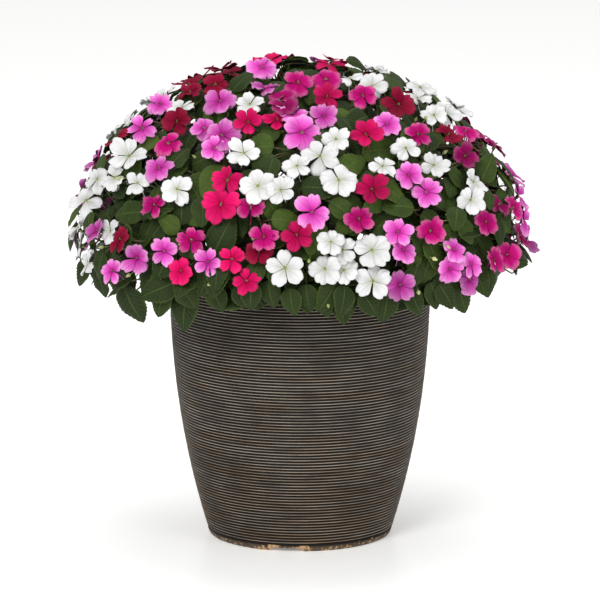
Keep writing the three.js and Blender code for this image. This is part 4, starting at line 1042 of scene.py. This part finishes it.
def petal_tones(kind, blooms):
    """Throat, deep, main and edge colours of a kind of petal."""
    main = np.array(getattr(blooms, kind))
    if kind == "white":
        # The greenish throat of white petals is their own colour; their grey deep zone is painted shade
        # toward the throat.
        return linear("#b9c296"), linear("#bec0ba"), main, linear("#dadada")
    pale = PALE_EDGES[kind]
    return main * THROAT_TINT, main * DEEP_TINT, main, (1 - pale) * np.minimum(1, 1.1 * main) + pale


def hub_of(points, faces):
    """The middle of the swelling where a spray's stalks meet: its innermost corners."""
    used = points[sorted({corner for face in faces for corner in face})]
    order = np.argsort(dome_scale(used))
    return used[order[:8]].mean(axis=0)


def add_buds(growths, hubs, draw, length):
    for finish, marks in FRONT_BUDS.items():
        for mark in marks:
            place = dome_in_sight(*mark, BUD_SCALE)
            nearest = int(np.argmin(norm(hubs - place, axis=1)))
            heading = unit(dome_normal(place) + draw.normal(0, 0.3, 3) - 0.2 * UP)
            add_bud(growths[SPRAYS[nearest]], hubs[nearest], place, heading, draw, length, finish)
    for name, hub in zip(SPRAYS, hubs):
        for _ in range(2):
            outward = dome_normal(hub)
            aside = unit(np.cross(outward, draw.normal(0, 1, 3)))
            place = hub + outward * draw.uniform(30, 44) + aside * draw.uniform(10, 22)
            heading = unit(outward + 0.5 * aside)
            add_bud(growths[name], hub, place, heading, draw, length * draw.uniform(0.6, 0.95), BUD)


class LIZZIE_OT_sprays(bpy.types.Operator):
    """Makes every spray: its blooms, buds and stalks"""

    bl_idname = "lizzie.sprays"
    bl_label = "Blooms and buds"

    def execute(self, context):
        blooms = context.scene.lizzie_blooms
        draw = np.random.default_rng(44)
        stalk = stem_finish("flower_stalk_pale_green", "#5f7139", "#7c7a4a")
        # The stamens' olive is darkened past their own colour, as painted shade at the throat's entrance.
        stamens = stem_finish("stamens_pollen_cream", "#99965e", "#646c3c")
        bud = stem_finish("bud_closed_pale_green", "#8d9f52", "#c3c488")
        petals = {kind: petal_finish(kind, petal_tones(kind, blooms)) for kind in PALE_EDGES}
        for shade, marks in SHADED_BLOOMS.items():
            for mark in marks:
                bloom_in_sight(*mark)["shade"] = shade
        growths, hubs = {}, []
        for name in SPRAYS:
            blades, points, faces = READ[name]
            growth = growths[name] = Growth()
            add_stems(growth, points, faces, STALK, draw.random())
            hubs.append(hub_of(points, faces))
            for bloom in blades:
                add_bloom(growth, bloom, draw, blooms)
        add_buds(growths, np.array(hubs), draw, blooms.bud / MM)
        for name in SPRAYS:
            _, number, kind = name.split("_")
            materials = [petals[kind], stalk, stamens, bud]
            growths[name].finish(f"blooms_{number}_{kind}", materials, f"petals_{kind}", name)
        return {"FINISHED"}


# ---- stage, in metres ----

FLOOR_SIDES = 96
FLOOR_REACH = 30
WORLD_POWER = 0.62
LIGHTS_AIM = (0, 0, 0.35)
# Each light's place and breadth. Its name is the setting that holds its power.
LIGHTS = {
    "key_light": ((-1.9, -4.8, 3.7), 2.6),
    "fill_light": ((3.4, -3.6, 2.2), 3.0),
    "top_light": ((0.2, 0.8, 4.2), 3.2),
}


def satin_board(stage):
    """Satin-painted board: even and white, with a weak soft reflection."""
    material, shader, add = new_finish("studio_floor_satin_white")
    add(shader, Base_Color=stage.floor, Roughness=0.32, Specular_IOR_Level=0.15)
    add(shader, Emission_Color=stage.floor, Emission_Strength=stage.floor_glow)
    return material


def set_up(name, data, place, target):
    """Sets a lamp or the camera in its place, turned to its target."""
    thing = new_object(name, data)
    thing.location = place
    thing.rotation_euler = (Vector(target) - Vector(place)).to_track_quat("-Z", "Y").to_euler()
    return thing


class LIZZIE_OT_stage(bpy.types.Operator):
    """Makes the plain studio: a pale floor, soft lights and the camera"""

    bl_idname = "lizzie.stage"
    bl_label = "Studio stage"

    def execute(self, context):
        stage = context.scene.lizzie_stage
        mesh = bpy.data.meshes.new("studio_floor")
        mesh.from_pydata(level_ring(FLOOR_SIDES, FLOOR_REACH, 0), [], [list(range(FLOOR_SIDES))])
        mesh.materials.append(satin_board(stage))
        floor = new_object("studio_floor", mesh)
        for name, (place, breadth) in LIGHTS.items():
            lamp = bpy.data.lights.new(name, "AREA")
            lamp.shape = "DISK"
            lamp.size = breadth
            lamp.energy = getattr(stage, name)
            set_up(name, lamp, place, LIGHTS_AIM)
        world = bpy.data.worlds.new("studio_white")
        world.use_nodes = True
        sky = world.node_tree
        add_node(sky, sky.nodes["Background"], Color=linear("#ffffff"), Strength=WORLD_POWER)
        context.scene.world = world
        lens = bpy.data.cameras.new("camera")
        lens.sensor_width = 36
        lens.lens_unit = "FOV"
        lens.angle = radians(FIELD_OF_VIEW)
        lens.clip_end = 100
        context.scene.camera = set_up("camera", lens, EYE * MM, AIM * MM)
        context.scene.view_settings.view_transform = "Standard"
        return {"FINISHED"}


# ---- panel and registration ----

STEPS = (LIZZIE_OT_pot, LIZZIE_OT_soil, LIZZIE_OT_plants, LIZZIE_OT_sprays, LIZZIE_OT_stage)
SETTINGS = {
    "lizzie_pot": LizziePot,
    "lizzie_foliage": LizzieFoliage,
    "lizzie_blooms": LizzieBlooms,
    "lizzie_stage": LizzieStage,
}


class LIZZIE_PT_panel(bpy.types.Panel):
    """Lists the pieces that can be made"""

    bl_label = "Busy lizzie"
    bl_space_type = "VIEW_3D"
    bl_region_type = "UI"
    bl_category = "Busy lizzie"

    def draw(self, context):
        for step in STEPS:
            self.layout.operator(step.bl_idname)
        for name, group in SETTINGS.items():
            settings = getattr(context.scene, name)
            box = self.layout.box()
            for key in group.__annotations__:
                box.prop(settings, key)


CLASSES = (*SETTINGS.values(), *STEPS, LIZZIE_PT_panel)


def register():
    for made in CLASSES:
        bpy.utils.register_class(made)
    for name, group in SETTINGS.items():
        setattr(bpy.types.Scene, name, PointerProperty(type=group))


def unregister():
    for name in SETTINGS:
        delattr(bpy.types.Scene, name)
    for made in reversed(CLASSES):
        bpy.utils.unregister_class(made)


def main():
    register()
    for step in STEPS:
        group, name = step.bl_idname.split(".")
        getattr(getattr(bpy.ops, group), name)()
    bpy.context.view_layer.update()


if __name__ == "__main__":
    main()
